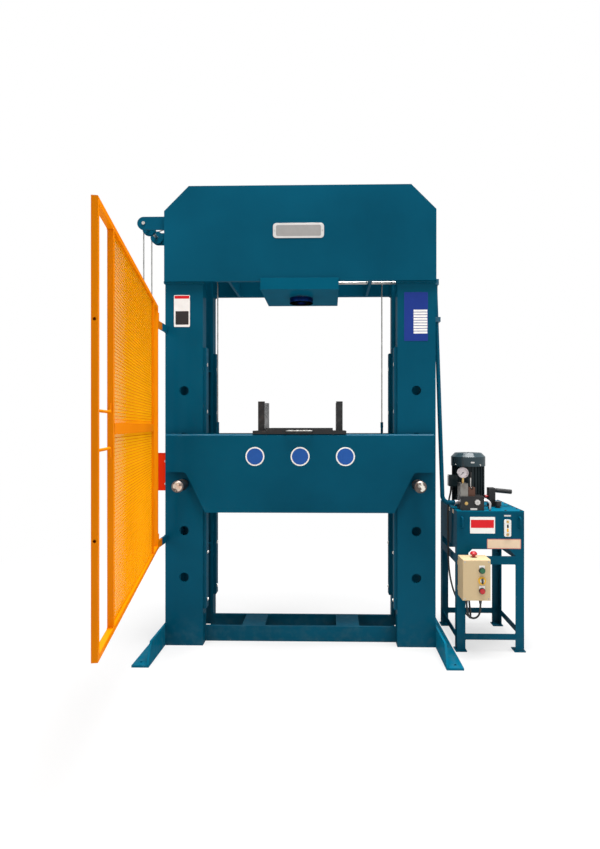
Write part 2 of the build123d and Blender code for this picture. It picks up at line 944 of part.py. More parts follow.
def guard_knuckle(z):
    """Hinge eye on the guard, over the bracket's eye, with a leaf to the hinge post."""
    base = z + hinge_lap
    top = z + hinge_eye
    eye = rod((0, 0, base), (0, 0, top), hinge_barrel)
    eye += block(0, hinge_post_gap, -hinge_leaf / 2, hinge_leaf / 2, base, top)
    return eye - rod((0, 0, base - cut_overrun), (0, 0, top + cut_overrun), hinge_pin + running_fit)


def guard_front_post():
    """Post at the free edge, with two bolt holes in its outer wall."""
    post = tube_up(front_post, guard_bottom, guard_top)
    for rise in (post_hole_low, post_hole_low + post_hole_rise):
        z = guard_bottom + rise
        post -= rod((guard_width - guard_tube / 2, 0, z), (guard_width + cut_overrun, 0, z), post_hole_radius)
    return post


def guard_outer_frame():
    """Two posts and two rails of square tube, with the hinge eyes."""
    pieces = [tube_up(hinge_post_gap, guard_bottom, guard_top), guard_front_post()]
    pieces += [tube_along(guard_post, front_post, z) for z in (guard_bottom, guard_top - guard_tube)]
    pieces += [guard_knuckle(z) for z in (hinge_low, hinge_high)]
    return [swung(piece) for piece in pieces]


def pull_rod(turn):
    """Bent rod between the front post and the front stile, its end turned up or down."""
    z = guard_middle + pull_rod_lift - guard_tube / 2 + turn * pull_rod_spacing / 2
    end = front_stile + guard_tube + pull_rod_radius + rolling_gap
    run = [(front_post, 0, z), (end, 0, z), (end, 0, z + turn * pull_rod_turn)]
    return bent_rod(run, pull_rod_bend, pull_rod_radius)


def guard_inner_frame():
    """Two stiles and a doubled middle rail that hold the mesh, and the two pull rods."""
    low, high = guard_bottom + guard_tube, guard_top - guard_tube
    pieces = [tube_up(x, low, high) for x in (rear_stile, front_stile)]
    pieces += [tube_along(mesh_left, front_stile, z) for z in (guard_middle - guard_tube, guard_middle)]
    pieces += [pull_rod(turn) for turn in (-1, 1)]
    return [swung(piece) for piece in pieces]


def spread(low, high, pitch):
    """Even places between two ends, near a given pitch."""
    count = max(round((high - low) / pitch), 2)
    return [low + (high - low) * step / count for step in range(1, count)]


def guard_mesh():
    """Welded mesh: level wires on the press side, upright wires behind them."""
    wires = []
    half = wire_size / 2
    panels = ((guard_bottom + guard_tube, guard_middle - guard_tube), (guard_middle + guard_tube,
                                                                       guard_top - guard_tube))
    for low, high in panels:
        for z in spread(low, high, wire_pitch):
            wires.append(block(mesh_left, front_stile, 0, wire_size, z - half, z + half))
        for x in spread(mesh_left, front_stile, wire_spacing):
            wires.append(block(x - half, x + half, -wire_size, 0, low, high))
    return [swung(wire) for wire in wires]


def hinge_bracket(z):
    """Arm on the upright's front face with an eye and a fixed hinge pin."""
    low = z - hinge_eye
    half = hinge_arm / 2
    arm = block(hinge_x - half, hinge_x + half, hinge_y, -front_y, low, z)
    arm += rod((hinge_x, hinge_y, low), (hinge_x, hinge_y, z), hinge_barrel)
    return arm + rod((hinge_x, hinge_y, z), (hinge_x, hinge_y, z + hinge_eye), hinge_pin)


# Power pack: stand and tank

def stand_leg(x_side, y_side):
    """Angle leg with its corner outward, on a foot pad."""
    x0 = pack_x if x_side < 0 else pack_x + pack_width
    y0 = pack_y if y_side < 0 else pack_y + pack_depth
    x_in, y_in = -x_side, -y_side
    leg = block(x0, x0 + x_in * leg_width, y0, y0 + y_in * leg_wall, foot_pad, tank_bottom)
    leg += block(x0, x0 + x_in * leg_wall, y0, y0 + y_in * leg_width, foot_pad, tank_bottom)
    pad_x = x0 - x_in * foot_pad_over
    pad_y = y0 - y_in * foot_pad_over
    return leg + block(pad_x, x0 + x_in * (leg_width + foot_pad_over), pad_y,
                       y0 + y_in * (leg_width + foot_pad_over), 0, foot_pad)


def stand_rails():
    """Flat rails between the legs, high and low, on all four sides."""
    rails = []
    x0, x1 = pack_x + leg_width, pack_x + pack_width - leg_width
    y0, y1 = pack_y + leg_width, pack_y + pack_depth - leg_width
    for low, tall in ((upper_rail_bottom, upper_rail_height), (lower_rail_bottom, lower_rail_height)):
        for y in (pack_y, pack_y + pack_depth - leg_wall):
            rails.append(block(x0, x1, y, y + leg_wall, low, low + tall))
        for x in (pack_x, pack_x + pack_width - leg_wall):
            rails.append(block(x, x + leg_wall, y0, y1, low, low + tall))
    return rails


def stand():
    """Four legs, eight rails and two corner gussets under the tank's front."""
    pieces = [stand_leg(x, y) for x in (-1, 1) for y in (-1, 1)] + stand_rails()
    for x, turn in ((pack_x + leg_width, 1), (pack_x + pack_width - leg_width, -1)):
        outline = [(x, tank_bottom - gusset), (x + turn * gusset, tank_bottom), (x, tank_bottom)]
        pieces.append(plate_xz(outline, pack_y, pack_y + leg_wall))
    return pieces


def oil_tank():
    """Open box tank."""
    top = tank_bottom + tank_height
    tank = block(pack_x, pack_x + pack_width, pack_y, pack_y + pack_depth, tank_bottom, top)
    inside = pack_x + pack_width - tank_wall
    back = pack_y + pack_depth - tank_wall
    return tank - block(pack_x + tank_wall, inside, pack_y + tank_wall, back, tank_bottom + tank_wall,
                        top + cut_overrun)


def tank_ear(x):
    """Bent-rod lifting ear welded to the tank's front."""
    high = tank_bottom + tank_height - ear_drop
    low = high - ear_span
    reach = pack_y - ear_reach
    return bent_rod([(x, pack_y, high), (x, reach, high), (x, reach, low), (x, pack_y, low)],
                    ear_bend, ear_rod)


def tank_lid():
    """Flat lid on the tank."""
    return block(pack_x, pack_x + pack_width, pack_y, pack_y + pack_depth, lid_z - lid_thickness, lid_z)


# Motor

motor_foot = lid_z + motor_flange_height
motor_top = motor_foot + motor_height


def motor():
    """Finned motor body on its flange, with a terminal box on the left."""
    place = Pos(motor_axis_x, motor_axis_y, 0)
    body = Pos(0, 0, lid_z) * Cylinder(motor_flange_radius, motor_flange_height,
                                       align=(Align.CENTER, Align.CENTER, Align.MIN))
    body += rod((0, 0, motor_foot), (0, 0, motor_top), motor_radius)
    fin_end = motor_radius + fin_height
    low, high = motor_foot + fin_height, motor_top - cowl_lap
    fins = []
    for step in range(fin_count):
        fin = block(motor_radius - fin_height, fin_end, -fin_width / 2, fin_width / 2, low, high)
        fins.append(Rot(0, 0, 360 * step / fin_count) * fin)
    body += fins
    box_end = -fin_end - terminal_depth
    y0 = -terminal_side - terminal_width / 2
    z0 = motor_foot + terminal_lift
    body += block(box_end, 0, y0, y0 + terminal_width, z0, z0 + terminal_height)
    body -= rod((0, 0, motor_foot), (0, 0, motor_top + cut_overrun), motor_shaft + running_fit)
    return place * body


def motor_cowl():
    """Fan cowl over the top of the motor, slotted for air."""
    foot = motor_top - cowl_lap
    top = foot + cowl_height
    inner = cowl_radius - cowl_wall
    shoulder = top - cowl_chamfer
    crown = cowl_radius - cowl_chamfer
    outline = [(motor_radius, foot), (cowl_radius, foot), (cowl_radius, shoulder), (crown, top), (0,
                                                                                                  top)]
    outline += [(0, top - cowl_wall), (crown - cowl_wall / 2, top - cowl_wall), (inner, shoulder),
                (inner, foot + cowl_lap)]
    outline += [(motor_radius, foot + cowl_lap)]
    cowl = turned(outline, Pos(0, 0, 0))
    for step in range(cowl_slots):
        slot = block(cowl_hub, crown - cowl_wall, -cowl_slot_width / 2, cowl_slot_width / 2, shoulder,
                     top + cut_overrun)
        cowl -= Rot(0, 0, 360 * step / cowl_slots) * slot
    return Pos(motor_axis_x, motor_axis_y, 0) * cowl


def motor_fan():
    """Motor shaft with its cooling fan under the cowl."""
    place = Pos(motor_axis_x, motor_axis_y, 0)
    base = motor_top + fan_lift
    fan = rod((0, 0, motor_foot + running_fit), (0, 0, base + fan_height), motor_shaft)
    for step in range(fan_blades):
        blade = block(0, fan_radius, -fan_blade / 2, fan_blade / 2, base, base + fan_height)
        fan += Rot(0, 0, 360 * step / fan_blades) * blade
    return place * fan


# Manifold, valves and gauge

manifold_left = pack_x + manifold_x
manifold_front = pack_y + manifold_y
manifold_top = lid_z + manifold_height
block_front = manifold_front + (manifold_depth - block_depth) / 2
block_top = manifold_top + block_height
spool_left = manifold_left + block_width + block_gap
spool_middle = manifold_front + manifold_depth / 2
spool_top = manifold_top + spool_height
lever_x = spool_left + spool_width / 2
lever_z = spool_top - spool_slot_depth / 2
gauge_x = manifold_left + block_width / 2
gauge_z = block_top + gauge_stem_length + gauge_radius
gauge_front = spool_middle - gauge_depth / 2


def manifold():
    """Black valve manifold on the lid, recessed for the relief dial's stem."""
    body = block(manifold_left, manifold_left + manifold_width, manifold_front,
                 manifold_front + manifold_depth, lid_z, manifold_top)
    x, z = manifold_left + dial_x, lid_z + dial_z
    hole = stem_radius + running_fit
    return body - rod((x, manifold_front - cut_overrun, z), (x, manifold_front + stem_length, z), hole)


def valve_blocks():
    """Gauge block and lever valve body, side by side on the manifold."""
    gauge_block = block(manifold_left, manifold_left + block_width, block_front,
                        block_front + block_depth, manifold_top, block_top)
    half = spool_depth / 2
    spool = block(spool_left, spool_left + spool_width, spool_middle - half, spool_middle + half,
                  manifold_top, spool_top)
    slot = spool_slot / 2
    spool -= block(lever_x - slot, lever_x + slot, spool_middle - half - cut_overrun,
                   spool_middle + half + cut_overrun,
                   spool_top - spool_slot_depth, spool_top + cut_overrun)
    hole = lever_pin + running_fit
    return [gauge_block, spool - rod((spool_left, spool_middle, lever_z), (spool_left + spool_width,
                                                                           spool_middle, lever_z),
                                     hole)]


def valve_lever():
    """Hand lever of the valve, on its cross pin, with a grip at the top."""
    top = lever_z + lever_length
    lever = rod((lever_x, spool_middle, lever_z), (lever_x, spool_middle, top), lever_radius)
    lever += rod((lever_x, spool_middle, top - lever_grip_length), (lever_x, spool_middle, top),
                 lever_grip_radius)
    ends = (spool_left, spool_left + spool_width)
    return lever + rod((ends[0], spool_middle, lever_z), (ends[1], spool_middle, lever_z), lever_pin)


def pressure_gauge():
    """Round gauge case, recessed at the front, on its stem."""
    y0, y1 = gauge_front, gauge_front + gauge_depth
    case = rod((gauge_x, y0, gauge_z), (gauge_x, y1, gauge_z), gauge_radius)
    case += rod((gauge_x, spool_middle, block_top), (gauge_x, spool_middle, gauge_z), gauge_stem)
    recess = gauge_front + gauge_recess
    case -= rod((gauge_x, y0 - cut_overrun, gauge_z), (gauge_x, recess, gauge_z),
                gauge_radius - gauge_rim)
    hole = needle_plate + running_fit
    return case - rod((gauge_x, y0, gauge_z), (gauge_x, y1 - gauge_rim, gauge_z), hole)


def gauge_needle():
    """Needle with its hub and spindle."""
    dial = gauge_front + gauge_recess
    face = dial - rolling_gap
    front = face - needle_plate
    needle = block(-needle_width / 2, needle_width / 2, front, face,
                   -needle_length * needle_tail_share, needle_length)
    needle += rod((0, front, 0), (0, face, 0), needle_hub)
    needle += rod((0, face, 0), (0, gauge_front + gauge_depth - gauge_rim - rolling_gap, 0),
                  needle_plate)
    return Pos(gauge_x, 0, gauge_z) * Rot(0, -needle_turn, 0) * needle


def relief_dial():
    """Fluted adjusting dial of the relief valve, on its stem."""
    x, z = manifold_left + dial_x, lid_z + dial_z
    back = manifold_front - rolling_gap
    dial = rod((0, back - dial_depth, 0), (0, back, 0), dial_radius)
    flute = dial_radius * flute_share
    for step in range(dial_flutes):
        cut = rod((dial_radius, back - dial_depth - cut_overrun, 0), (dial_radius, back + cut_overrun,
                                                                      0), flute)
        dial -= Rot(0, 360 * step / dial_flutes, 0) * cut
    dial += rod((0, back, 0), (0, manifold_front + stem_length - rolling_gap, 0), stem_radius)
    return Pos(x, 0, z) * dial


# Hand valve and filler

hand_x = pack_x + hand_valve_x
hand_y = pack_y + hand_valve_y
hand_top = lid_z + hand_valve_height
hand_z = hand_top - hand_pivot_drop


def hand_valve():
    """Forked pedestal of the hand lever."""
    half_y = hand_valve_depth / 2
    body = block(hand_x, hand_x + hand_valve_width, hand_y - half_y, hand_y + half_y, lid_z, hand_top)
    slot = hand_slot / 2
    body -= block(hand_x - cut_overrun, hand_x + hand_valve_width + cut_overrun, hand_y - slot,
                  hand_y + slot,
                  hand_top - hand_slot_depth, hand_top + cut_overrun)
    middle = hand_x + hand_valve_width / 2
    hole = hand_pivot_radius + running_fit
    return body - rod((middle, hand_y - half_y, hand_z), (middle, hand_y + half_y, hand_z), hole)


def hand_lever():
    """Lever with a thick grip, pivoted in the pedestal's fork."""
    x = hand_x + hand_valve_width / 2
    end = Vector(x + hand_lever_length, hand_y, hand_z - hand_lever_drop)
    start = Vector(x, hand_y, hand_z)
    along = (end - start).normalized()
    lever = rod(start, end, hand_lever_radius) + Pos(start) * Sphere(hand_lever_radius)
    lever += rod(end - along * hand_grip_length, end, hand_grip_radius)
    half = hand_valve_depth / 2
    return lever + rod((x, hand_y - half, hand_z), (x, hand_y + half, hand_z), hand_pivot_radius)


def filler_cap():
    """Breather cap on its neck."""
    outline = [(0, 0), (filler_neck, 0), (filler_neck, filler_neck_height), (filler_radius,
                                                                             filler_neck_height)]
    outline += [(filler_radius, filler_height), (0, filler_height)]
    return turned(outline, Pos(pack_x + filler_x, pack_y + filler_y, lid_z))


def level_gauge():
    """Oil level gauge body on the tank front."""
    x0 = pack_x + pack_width - level_inset - level_width
    z0 = tank_bottom + level_z
    body = block(x0, x0 + level_width, pack_y - level_depth, pack_y, z0, z0 + level_height)
    corners = body.edges().filter_by(Axis.Y)
    return fillet(corners, level_depth)


# Control box

button_middle = box_left + button_x
button_places = [box_top - button_top - step * button_pitch for step in range(3)]


def control_box():
    """Steel case open to the front, held on the leg by two straps."""
    case = block(box_left, box_left + box_width, box_front, box_back, box_bottom, box_top)
    case -= block(box_left + box_wall, box_left + box_width - box_wall, box_front - cut_overrun,
                  box_back - box_wall,
                  box_bottom + box_wall, box_top - box_wall)
    middle = (box_front + box_back) / 2
    x = box_left + estop_x
    case -= rod((x, middle, box_top - box_wall - cut_overrun), (x, middle, box_top + cut_overrun),
                stem_radius + running_fit)
    for z in (box_bottom + box_strap_height, upper_rail_bottom):
        case += block(box_left, box_left + box_strap_width, box_back, pack_y, z, z + box_strap_height)
    return case


def control_cover():
    """Front cover with rounded edges, bored for the buttons and the key switch."""
    cover = block(box_left, box_left + box_width, cover_front, box_front, box_bottom, box_top)
    rims = [e for e in cover.edges() if math.isclose(e.center().Y, cover_front)]
    cover = fillet(rims, cover_round)
    for z in button_places:
        hole = rod((button_middle, cover_front - cut_overrun, z), (button_middle,
                                                                   box_front + cut_overrun, z),
                   stem_radius + running_fit)
        cover -= hole
    return cover


def push_button(z):
    """Button cap on its stem, standing off the cover by its travel."""
    back = cover_front - button_lift
    cap = rod((button_middle, back - button_depth, z), (button_middle, back, z), button_radius)
    return cap + rod((button_middle, back, z), (button_middle, cover_front + stem_length, z),
                     stem_radius)


def key_switch():
    """Rotary switch: round plate with a raised finger bar on a stem."""
    z = button_places[1]
    back = cover_front - rolling_gap
    front = back - key_plate
    knob = rod((button_middle, front, z), (button_middle, back, z), key_ring_radius)
    half = key_knob_width / 2
    reach = key_ring_radius * key_bar_share
    knob += block(button_middle - half, button_middle + half, front - key_knob_depth, front,
                  z - reach, z + reach)
    return knob + rod((button_middle, back, z), (button_middle, cover_front + stem_length, z),
                      stem_radius)


def estop_button():
    """Mushroom stop button on top of the box."""
    base = box_top + button_lift
    cap = base + estop_neck_height
    top = cap + estop_height
    rim = estop_radius * estop_crown_share
    outline = [(0, box_top - stem_length), (stem_radius, box_top - stem_length), (stem_radius, base),
               (estop_neck, base)]
    outline += [(estop_neck, cap), (estop_radius, cap), (estop_radius, cap + estop_height / 2), (rim,
                                                                                                 top),
                (0, top)]
    return turned(outline, Pos(box_left + estop_x, (box_front + box_back) / 2, 0))


# Leads: one to the motor, one up to the tank floor

lead_y = box_back - gland_back
gland_foot = box_bottom - gland_length
left_gland = box_left + gland_x[0]
right_gland = box_left + gland_x[1]

tank_lead_route = [(0, 0, 0), (4, 2, -50), (20, 12, -99), (40, 54, -113), (46, 106, -62), (44, 128, 10)]
tank_lead_route += [(42, 136, 95), (42, 140, 190)]
motor_lead_route = [(0, 0, 0), (2, 2, -52), (-10, 12, -96), (-38, 42, -116), (-62, 90, -104), (-88,
                                                                                               140,
                                                                                               -62)]
motor_lead_route += [(-112, 190, 0), (-126, 226, 80), (-132, 246, 170)]


def lead(points):
    """Cable along a hand-chosen route, each bend as large as its runs allow."""
    places = [Vector(p) for p in points]
    radii = []
    for before, here, after in zip(places, places[1:], places[2:]):
        turn = math.radians((here - before).get_angle(after - here))
        shorter = min((here - before).length, (after - here).length)
        radii.append(lead_bend_share * shorter / math.tan(turn / 2))
    print("lead bends, mm:", [round(radius) for radius in radii])
    path = FilletPolyline(*places, radius=radii)
    return sweep(Plane(origin=path @ 0, z_dir=path % 0) * Circle(lead_radius), path=path)


def gland(x):
    """Cable gland under the box."""
    return rod((x, lead_y, gland_foot), (x, lead_y, box_bottom), gland_radius)


def control_leads():
    """Two glands and the two leads that hang from them in loops."""
    box_lead = [(left_gland + x, lead_y + y, gland_foot + z) for x, y, z in tank_lead_route]
    box_lead.append((*box_lead[-1][:2], tank_bottom))
    motor_lead = [(right_gland + x, lead_y + y, gland_foot + z) for x, y, z in motor_lead_route]
    exit_x = motor_axis_x - motor_radius - fin_height - terminal_depth / 2
    exit_y = motor_axis_y - terminal_side
    exit_z = motor_foot + terminal_lift
    rise_x = pack_x - lead_off
    tank_middle = tank_bottom + tank_height * lead_rise_share
    motor_lead += [(rise_x, exit_y, tank_bottom), (rise_x - lead_radius, exit_y - lead_radius,
                                                   tank_middle)]
    motor_lead.append((rise_x, exit_y - lead_radius, lid_z + lead_clear))
    motor_lead += [(exit_x, exit_y, exit_z - lead_clear), (exit_x, exit_y, exit_z)]
    return [gland(left_gland), gland(right_gland), lead(box_lead), lead(motor_lead)]


# Every node

def write_press():
    """Frame, head, ram, base, bed and what lies on it."""
    for name, face in (("front", -1), ("rear", 1)):
        save(f"{name}_uprights", *[upright(side, face) for side in (-1, 1)])
    corners = [(side, face) for side in (-1, 1) for face in (-1, 1)]
    save("upright_ribs", *[rib for side, face in corners for rib in upright_ribs(side, face)])
    save("guide_strips", *[guide_strip(side, face) for side, face in corners])
    save("head_plates", *head_plates())
    save("cylinder_mount_plate", cylinder_mount())
    save("cylinder", cylinder())
    save("ram", ram())
    save("head_pipe", head_pipe())
    save("pressure_pipe", pressure_pipe())
    save("pipe_fittings", *pipe_fittings())
    save("base_frame", *base_frame())
    save("feet", foot(-1), foot(1))
    save("locating_pins", locating_pin(-1), locating_pin(1))
    save("bed_plates", bed_side(-1), bed_side(1))
    save("bed_ribs", *bed_ribs())
    save("rope_anchors", rope_anchor(-1), rope_anchor(1))
    save("vee_blocks", vee_block(-1), vee_block(1))
    save("press_plate", press_plate())
    save("plate_handle", plate_handle())


def write_hoist():
    """Brackets, sheaves, ropes and winch."""
    save("pulley_brackets", *[pulley_bracket(y) for y in bracket_places])
    save("sheave_shafts", *sheave_shafts())
    save("outer_sheaves", *[sheave(-outer_sheave_x, y, outer_sheave_z) for y in (-rope_side,
                                                                                 rope_side)])
    save("head_left_sheaves", *[sheave(left_sheave_x, y, head_sheave_z) for y in (-rope_side,
                                                                                  rope_side)])
    save("head_right_sheave", sheave(right_sheave_x, rope_side, head_sheave_z))
    save("hoist_ropes", hoist_rope(-rope_side, left_sheave_x), hoist_rope(rope_side, right_sheave_x))
    save("drop_ropes", drop_rope(-1), drop_rope(1))
    save("winch_frame", *winch_frame())
    save("winch_drum", winch_drum())
    save("winch_crank", winch_crank())
    save("crank_grip", crank_grip())


def write_guard():
    """Hinged mesh guard and its brackets."""
    save("hinge_brackets", hinge_bracket(hinge_low), hinge_bracket(hinge_high))
    save("guard_outer_frame", *guard_outer_frame())
    save("guard_inner_frame", *guard_inner_frame())
    save("guard_mesh", *guard_mesh())


def write_power_pack():
    """Stand, tank, motor, valves and control box."""
    save("stand", *stand())
    save("oil_tank", oil_tank())
    save("tank_ears", tank_ear(pack_x + ear_inset), tank_ear(pack_x + pack_width - ear_inset))
    save("tank_lid", tank_lid())
    save("motor", motor())
    save("motor_cowl", motor_cowl())
    save("motor_fan", motor_fan())
    save("manifold", manifold())
    save("valve_blocks", *valve_blocks())
    save("valve_lever", valve_lever())
    save("pressure_gauge", pressure_gauge())
    save("gauge_needle", gauge_needle())
    save("relief_dial", relief_dial())
    save("hand_valve", hand_valve())
    save("hand_lever", hand_lever())
    save("filler_cap", filler_cap())
    save("level_gauge", level_gauge())
    save("control_box", control_box())
    save("control_cover", control_cover())
    save("green_button", push_button(button_places[0]))
    save("red_button", push_button(button_places[2]))
    save("key_switch", key_switch())
    save("estop_button", estop_button())
    save("control_leads", *control_leads())


os.makedirs("parts", exist_ok=True)
write_press()
write_hoist()
write_guard()
write_power_pack()
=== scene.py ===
import math
import bpy
import bmesh
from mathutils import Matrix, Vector


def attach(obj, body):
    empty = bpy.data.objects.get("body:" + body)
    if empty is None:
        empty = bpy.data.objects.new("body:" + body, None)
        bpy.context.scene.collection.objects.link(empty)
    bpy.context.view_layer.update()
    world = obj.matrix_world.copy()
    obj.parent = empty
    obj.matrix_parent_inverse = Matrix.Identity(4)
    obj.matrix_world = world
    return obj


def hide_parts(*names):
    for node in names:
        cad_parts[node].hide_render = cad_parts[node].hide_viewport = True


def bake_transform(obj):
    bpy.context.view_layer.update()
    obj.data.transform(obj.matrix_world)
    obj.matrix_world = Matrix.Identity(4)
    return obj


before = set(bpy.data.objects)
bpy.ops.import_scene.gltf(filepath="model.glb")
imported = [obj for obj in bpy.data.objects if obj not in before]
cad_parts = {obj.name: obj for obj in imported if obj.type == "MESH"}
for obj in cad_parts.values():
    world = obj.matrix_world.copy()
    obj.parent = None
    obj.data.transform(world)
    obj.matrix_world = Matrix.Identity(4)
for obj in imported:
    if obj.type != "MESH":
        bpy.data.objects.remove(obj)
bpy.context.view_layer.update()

# Press frame
# Channel uprights, plate head, cylinder, base bars and feet are cut from hot-rolled plate, welded up and sprayed with a
# dark teal gloss enamel. The bed, the brackets, the stand and the tank get the same coat.
teal_deep = (0.0011, 0.052, 0.091)
teal_lit = (0.0018, 0.073, 0.126)
dust_grey = (0.050, 0.105, 0.125)


def node(tree, kind, **inputs):
    """New node: small-letter names are its settings, at0 and so on its sockets by number, others by name."""
    made = tree.nodes.new(kind)
    for name, value in inputs.items():
        number = name[2:] if name.startswith("at") else ""
        if name[0].islower() and not number.isdigit():
            setattr(made, name, value)
            continue
        socket = made.inputs[int(number)] if number.isdigit() else made.inputs[name.replace("_", " ")]
        if isinstance(value, bpy.types.NodeSocket):
            tree.links.new(value, socket)
        else:
            socket.default_value = value
    return made


def new_finish(name, **sockets):
    """Material with one Principled shader; returns the material, its tree and the shader."""
    finish = bpy.data.materials.new(name)
    finish.use_nodes = True
    tree = finish.node_tree
    tree.nodes.clear()
    shader = node(tree, "ShaderNodeBsdfPrincipled", **sockets)
    end = tree.nodes.new("ShaderNodeOutputMaterial")
    tree.links.new(shader.outputs["BSDF"], end.inputs["Surface"])
    return finish, tree, shader


def place_of(tree, stretch=(1, 1, 1), shift=(0, 0, 0)):
    """The piece's own coordinates, in metres, stretched or shifted for a pattern."""
    coords = node(tree, "ShaderNodeTexCoord")
    moved = node(tree, "ShaderNodeMapping", Vector=coords.outputs["Object"], Scale=stretch, Location=shift)
    return moved.outputs["Vector"]


def cloud(tree, scale, detail=3.0, stretch=(1, 1, 1)):
    """Soft noise over the piece."""
    return node(tree, "ShaderNodeTexNoise", Vector=place_of(tree, stretch), Scale=scale, Detail=detail).outputs["Fac"]


def between(tree, share, low, high, start=0.3, end=0.7):
    """Number that runs from low to high as the share goes from start to end."""
    made = node(tree, "ShaderNodeMapRange", Value=share, From_Min=start, From_Max=end, To_Min=low, To_Max=high)
    return made.outputs["Result"]


def mixed(tree, share, first, second):
    """Colour between two colours."""
    made = tree.nodes.new("ShaderNodeMix")
    made.data_type = "RGBA"
    for socket, value in ((made.inputs[0], share), (made.inputs[6], first), (made.inputs[7], second)):
        if isinstance(value, bpy.types.NodeSocket):
            tree.links.new(value, socket)
        else:
            socket.default_value = value if isinstance(value, (int, float)) else (*value, 1.0)
    return made.outputs[2]


def relief(tree, shader, height, depth, strength=1.0):
    """Surface relief from a height pattern, depth in metres."""
    made = node(tree, "ShaderNodeBump", Height=height, Distance=depth, Strength=strength)
    tree.links.new(made.outputs["Normal"], shader.inputs["Normal"])


def enamel(name, deep, lit, rough=0.30, dust=0.35, gloss=0.07):
    """Sprayed gloss enamel: slow colour drift, orange peel, a little dust low down."""
    finish, tree, shader = new_finish(name, Specular_IOR_Level=0.0, Coat_Weight=gloss, Coat_Roughness=0.14)
    drift = mixed(tree, between(tree, cloud(tree, 1.7), 0, 1), deep, lit)
    mottle = mixed(tree, between(tree, cloud(tree, 38.0, 4.0), 0, 0.10), drift, lit)
    height = node(tree, "ShaderNodeSeparateXYZ", Vector=place_of(tree)).outputs["Z"]
    low = between(tree, height, dust, 0.0, 0.0, 0.22)
    specks = between(tree, cloud(tree, 22.0, 5.0), 0, 1, 0.45, 0.75)
    grime = node(tree, "ShaderNodeMath", operation="MULTIPLY", at0=low, at1=specks)
    tree.links.new(mixed(tree, grime.outputs[0], mottle, dust_grey), shader.inputs["Base Color"])
    tree.links.new(between(tree, cloud(tree, 9.0), rough - 0.06, rough + 0.08), shader.inputs["Roughness"])
    relief(tree, shader, cloud(tree, 160.0, 2.0), 0.0004, 0.10)
    tree.links.new(shader.inputs["Normal"].links[0].from_socket, shader.inputs["Coat Normal"])
    return finish


def dress(finish, *names):
    """Give CAD nodes a finish in every material slot."""
    for name in names:
        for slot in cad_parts[name].material_slots:
            slot.material = finish


teal_enamel = enamel("teal_enamel", teal_deep, teal_lit)
# The feet and the tank lid take a lighter, less glossy copy of the teal, which is painted light from above on their
# tops.
top_lit_enamel = enamel("top_lit_enamel", (0.0014, 0.090, 0.150), (0.0020, 0.118, 0.195), gloss=0.03)
# The mount plate takes a lighter copy of the teal, which is painted bounce light from the floor on its underside.
bounce_lit_enamel = enamel("bounce_lit_enamel", (0.0012, 0.064, 0.110), (0.0018, 0.088, 0.150), gloss=0.03)
dress(teal_enamel, "front_uprights", "rear_uprights", "upright_ribs", "guide_strips", "head_plates", "base_frame",
      "cylinder")
dress(top_lit_enamel, "feet")
dress(bounce_lit_enamel, "cylinder_mount_plate")


# Welds of the press frame
# Fillet welds run along the joints of the plates, laid by hand as overlapping ripples and painted over. The guide
# strips are stitched to the uprights with short runs.
bead_pitch, bead_radius = 0.0065, 0.0055
head_bead_pitch, head_bead_radius = 0.0085, 0.013
outer_x, inner_x, front_y, lip_y, lip_z = 820, 590, 190, 100, 125
head_low, head_face, mount_top, mount_half = 2209, 215, 2223, 235
strip_edges, strip_foot, strip_top = (115, 175), 6, 90
stitches, first_stitch, stitch_step, stitch_length = 8, 240, 200, 45
hinge_weld_x, hinge_weld_z, hinge_weld_reach = (-820, -808), (672, 1945), (40, 2)
bracket_weld_y, bracket_weld_z = (-183, -173, 100, 110), (2537, 2611)


def tree_with(name, *sizes):
    """Geometry tree: a mesh goes in, with named sizes and a finish as inputs."""
    tree = bpy.data.node_groups.new(name, "GeometryNodeTree")
    tree.interface.new_socket("Geometry", in_out="INPUT", socket_type="NodeSocketGeometry")
    for size in sizes:
        tree.interface.new_socket(size, in_out="INPUT", socket_type="NodeSocketFloat")
    tree.interface.new_socket("Finish", in_out="INPUT", socket_type="NodeSocketMaterial")
    tree.interface.new_socket("Geometry", in_out="OUTPUT", socket_type="NodeSocketGeometry")
    return tree, tree.nodes.new("NodeGroupInput")


def close_tree(tree, start, geometry):
    """End a tree: instances made real and the finish set."""
    real = node(tree, "GeometryNodeRealizeInstances", Geometry=geometry)
    painted = node(tree, "GeometryNodeSetMaterial", Geometry=real.outputs["Geometry"], Material=start.outputs["Finish"])
    end = tree.nodes.new("NodeGroupOutput")
    tree.links.new(painted.outputs["Geometry"], end.inputs["Geometry"])
    return tree


def lines_mesh(name, lines):
    """Wire mesh from lists of points in millimetres."""
    points, edges = [], []
    for line in lines:
        first = len(points)
        points += [Vector(p) / 1000 for p in line]
        edges += [(first + i, first + i + 1) for i in range(len(line) - 1)]
    mesh = bpy.data.meshes.new(name)
    mesh.from_pydata(points, edges, [])
    return mesh


def show(name, mesh, body):
    """Put a mesh in the scene as a piece that rides on a body, if one is named."""
    piece = bpy.data.objects.new(name, mesh)
    bpy.context.scene.collection.objects.link(piece)
    if body:
        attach(piece, body)
    return piece


def grown(name, mesh, tree, finish, body, slot, **sizes):
    """Piece that a geometry tree grows on a mesh, turned into a plain mesh."""
    host = bpy.data.objects.new(name + "_host", mesh)
    bpy.context.scene.collection.objects.link(host)
    step = host.modifiers.new("grow", "NODES")
    step.node_group = tree
    values = dict({"Finish": finish}, **{key.replace("_", " "): value for key, value in sizes.items()})
    for socket in tree.interface.items_tree:
        if socket.in_out == "INPUT" and socket.name in values:
            step[socket.identifier] = values[socket.name]
    depsgraph = bpy.context.evaluated_depsgraph_get()
    solid = bpy.data.meshes.new_from_object(host.evaluated_get(depsgraph))
    solid.name = name
    bpy.data.objects.remove(host)
    return show(name, solid, body)


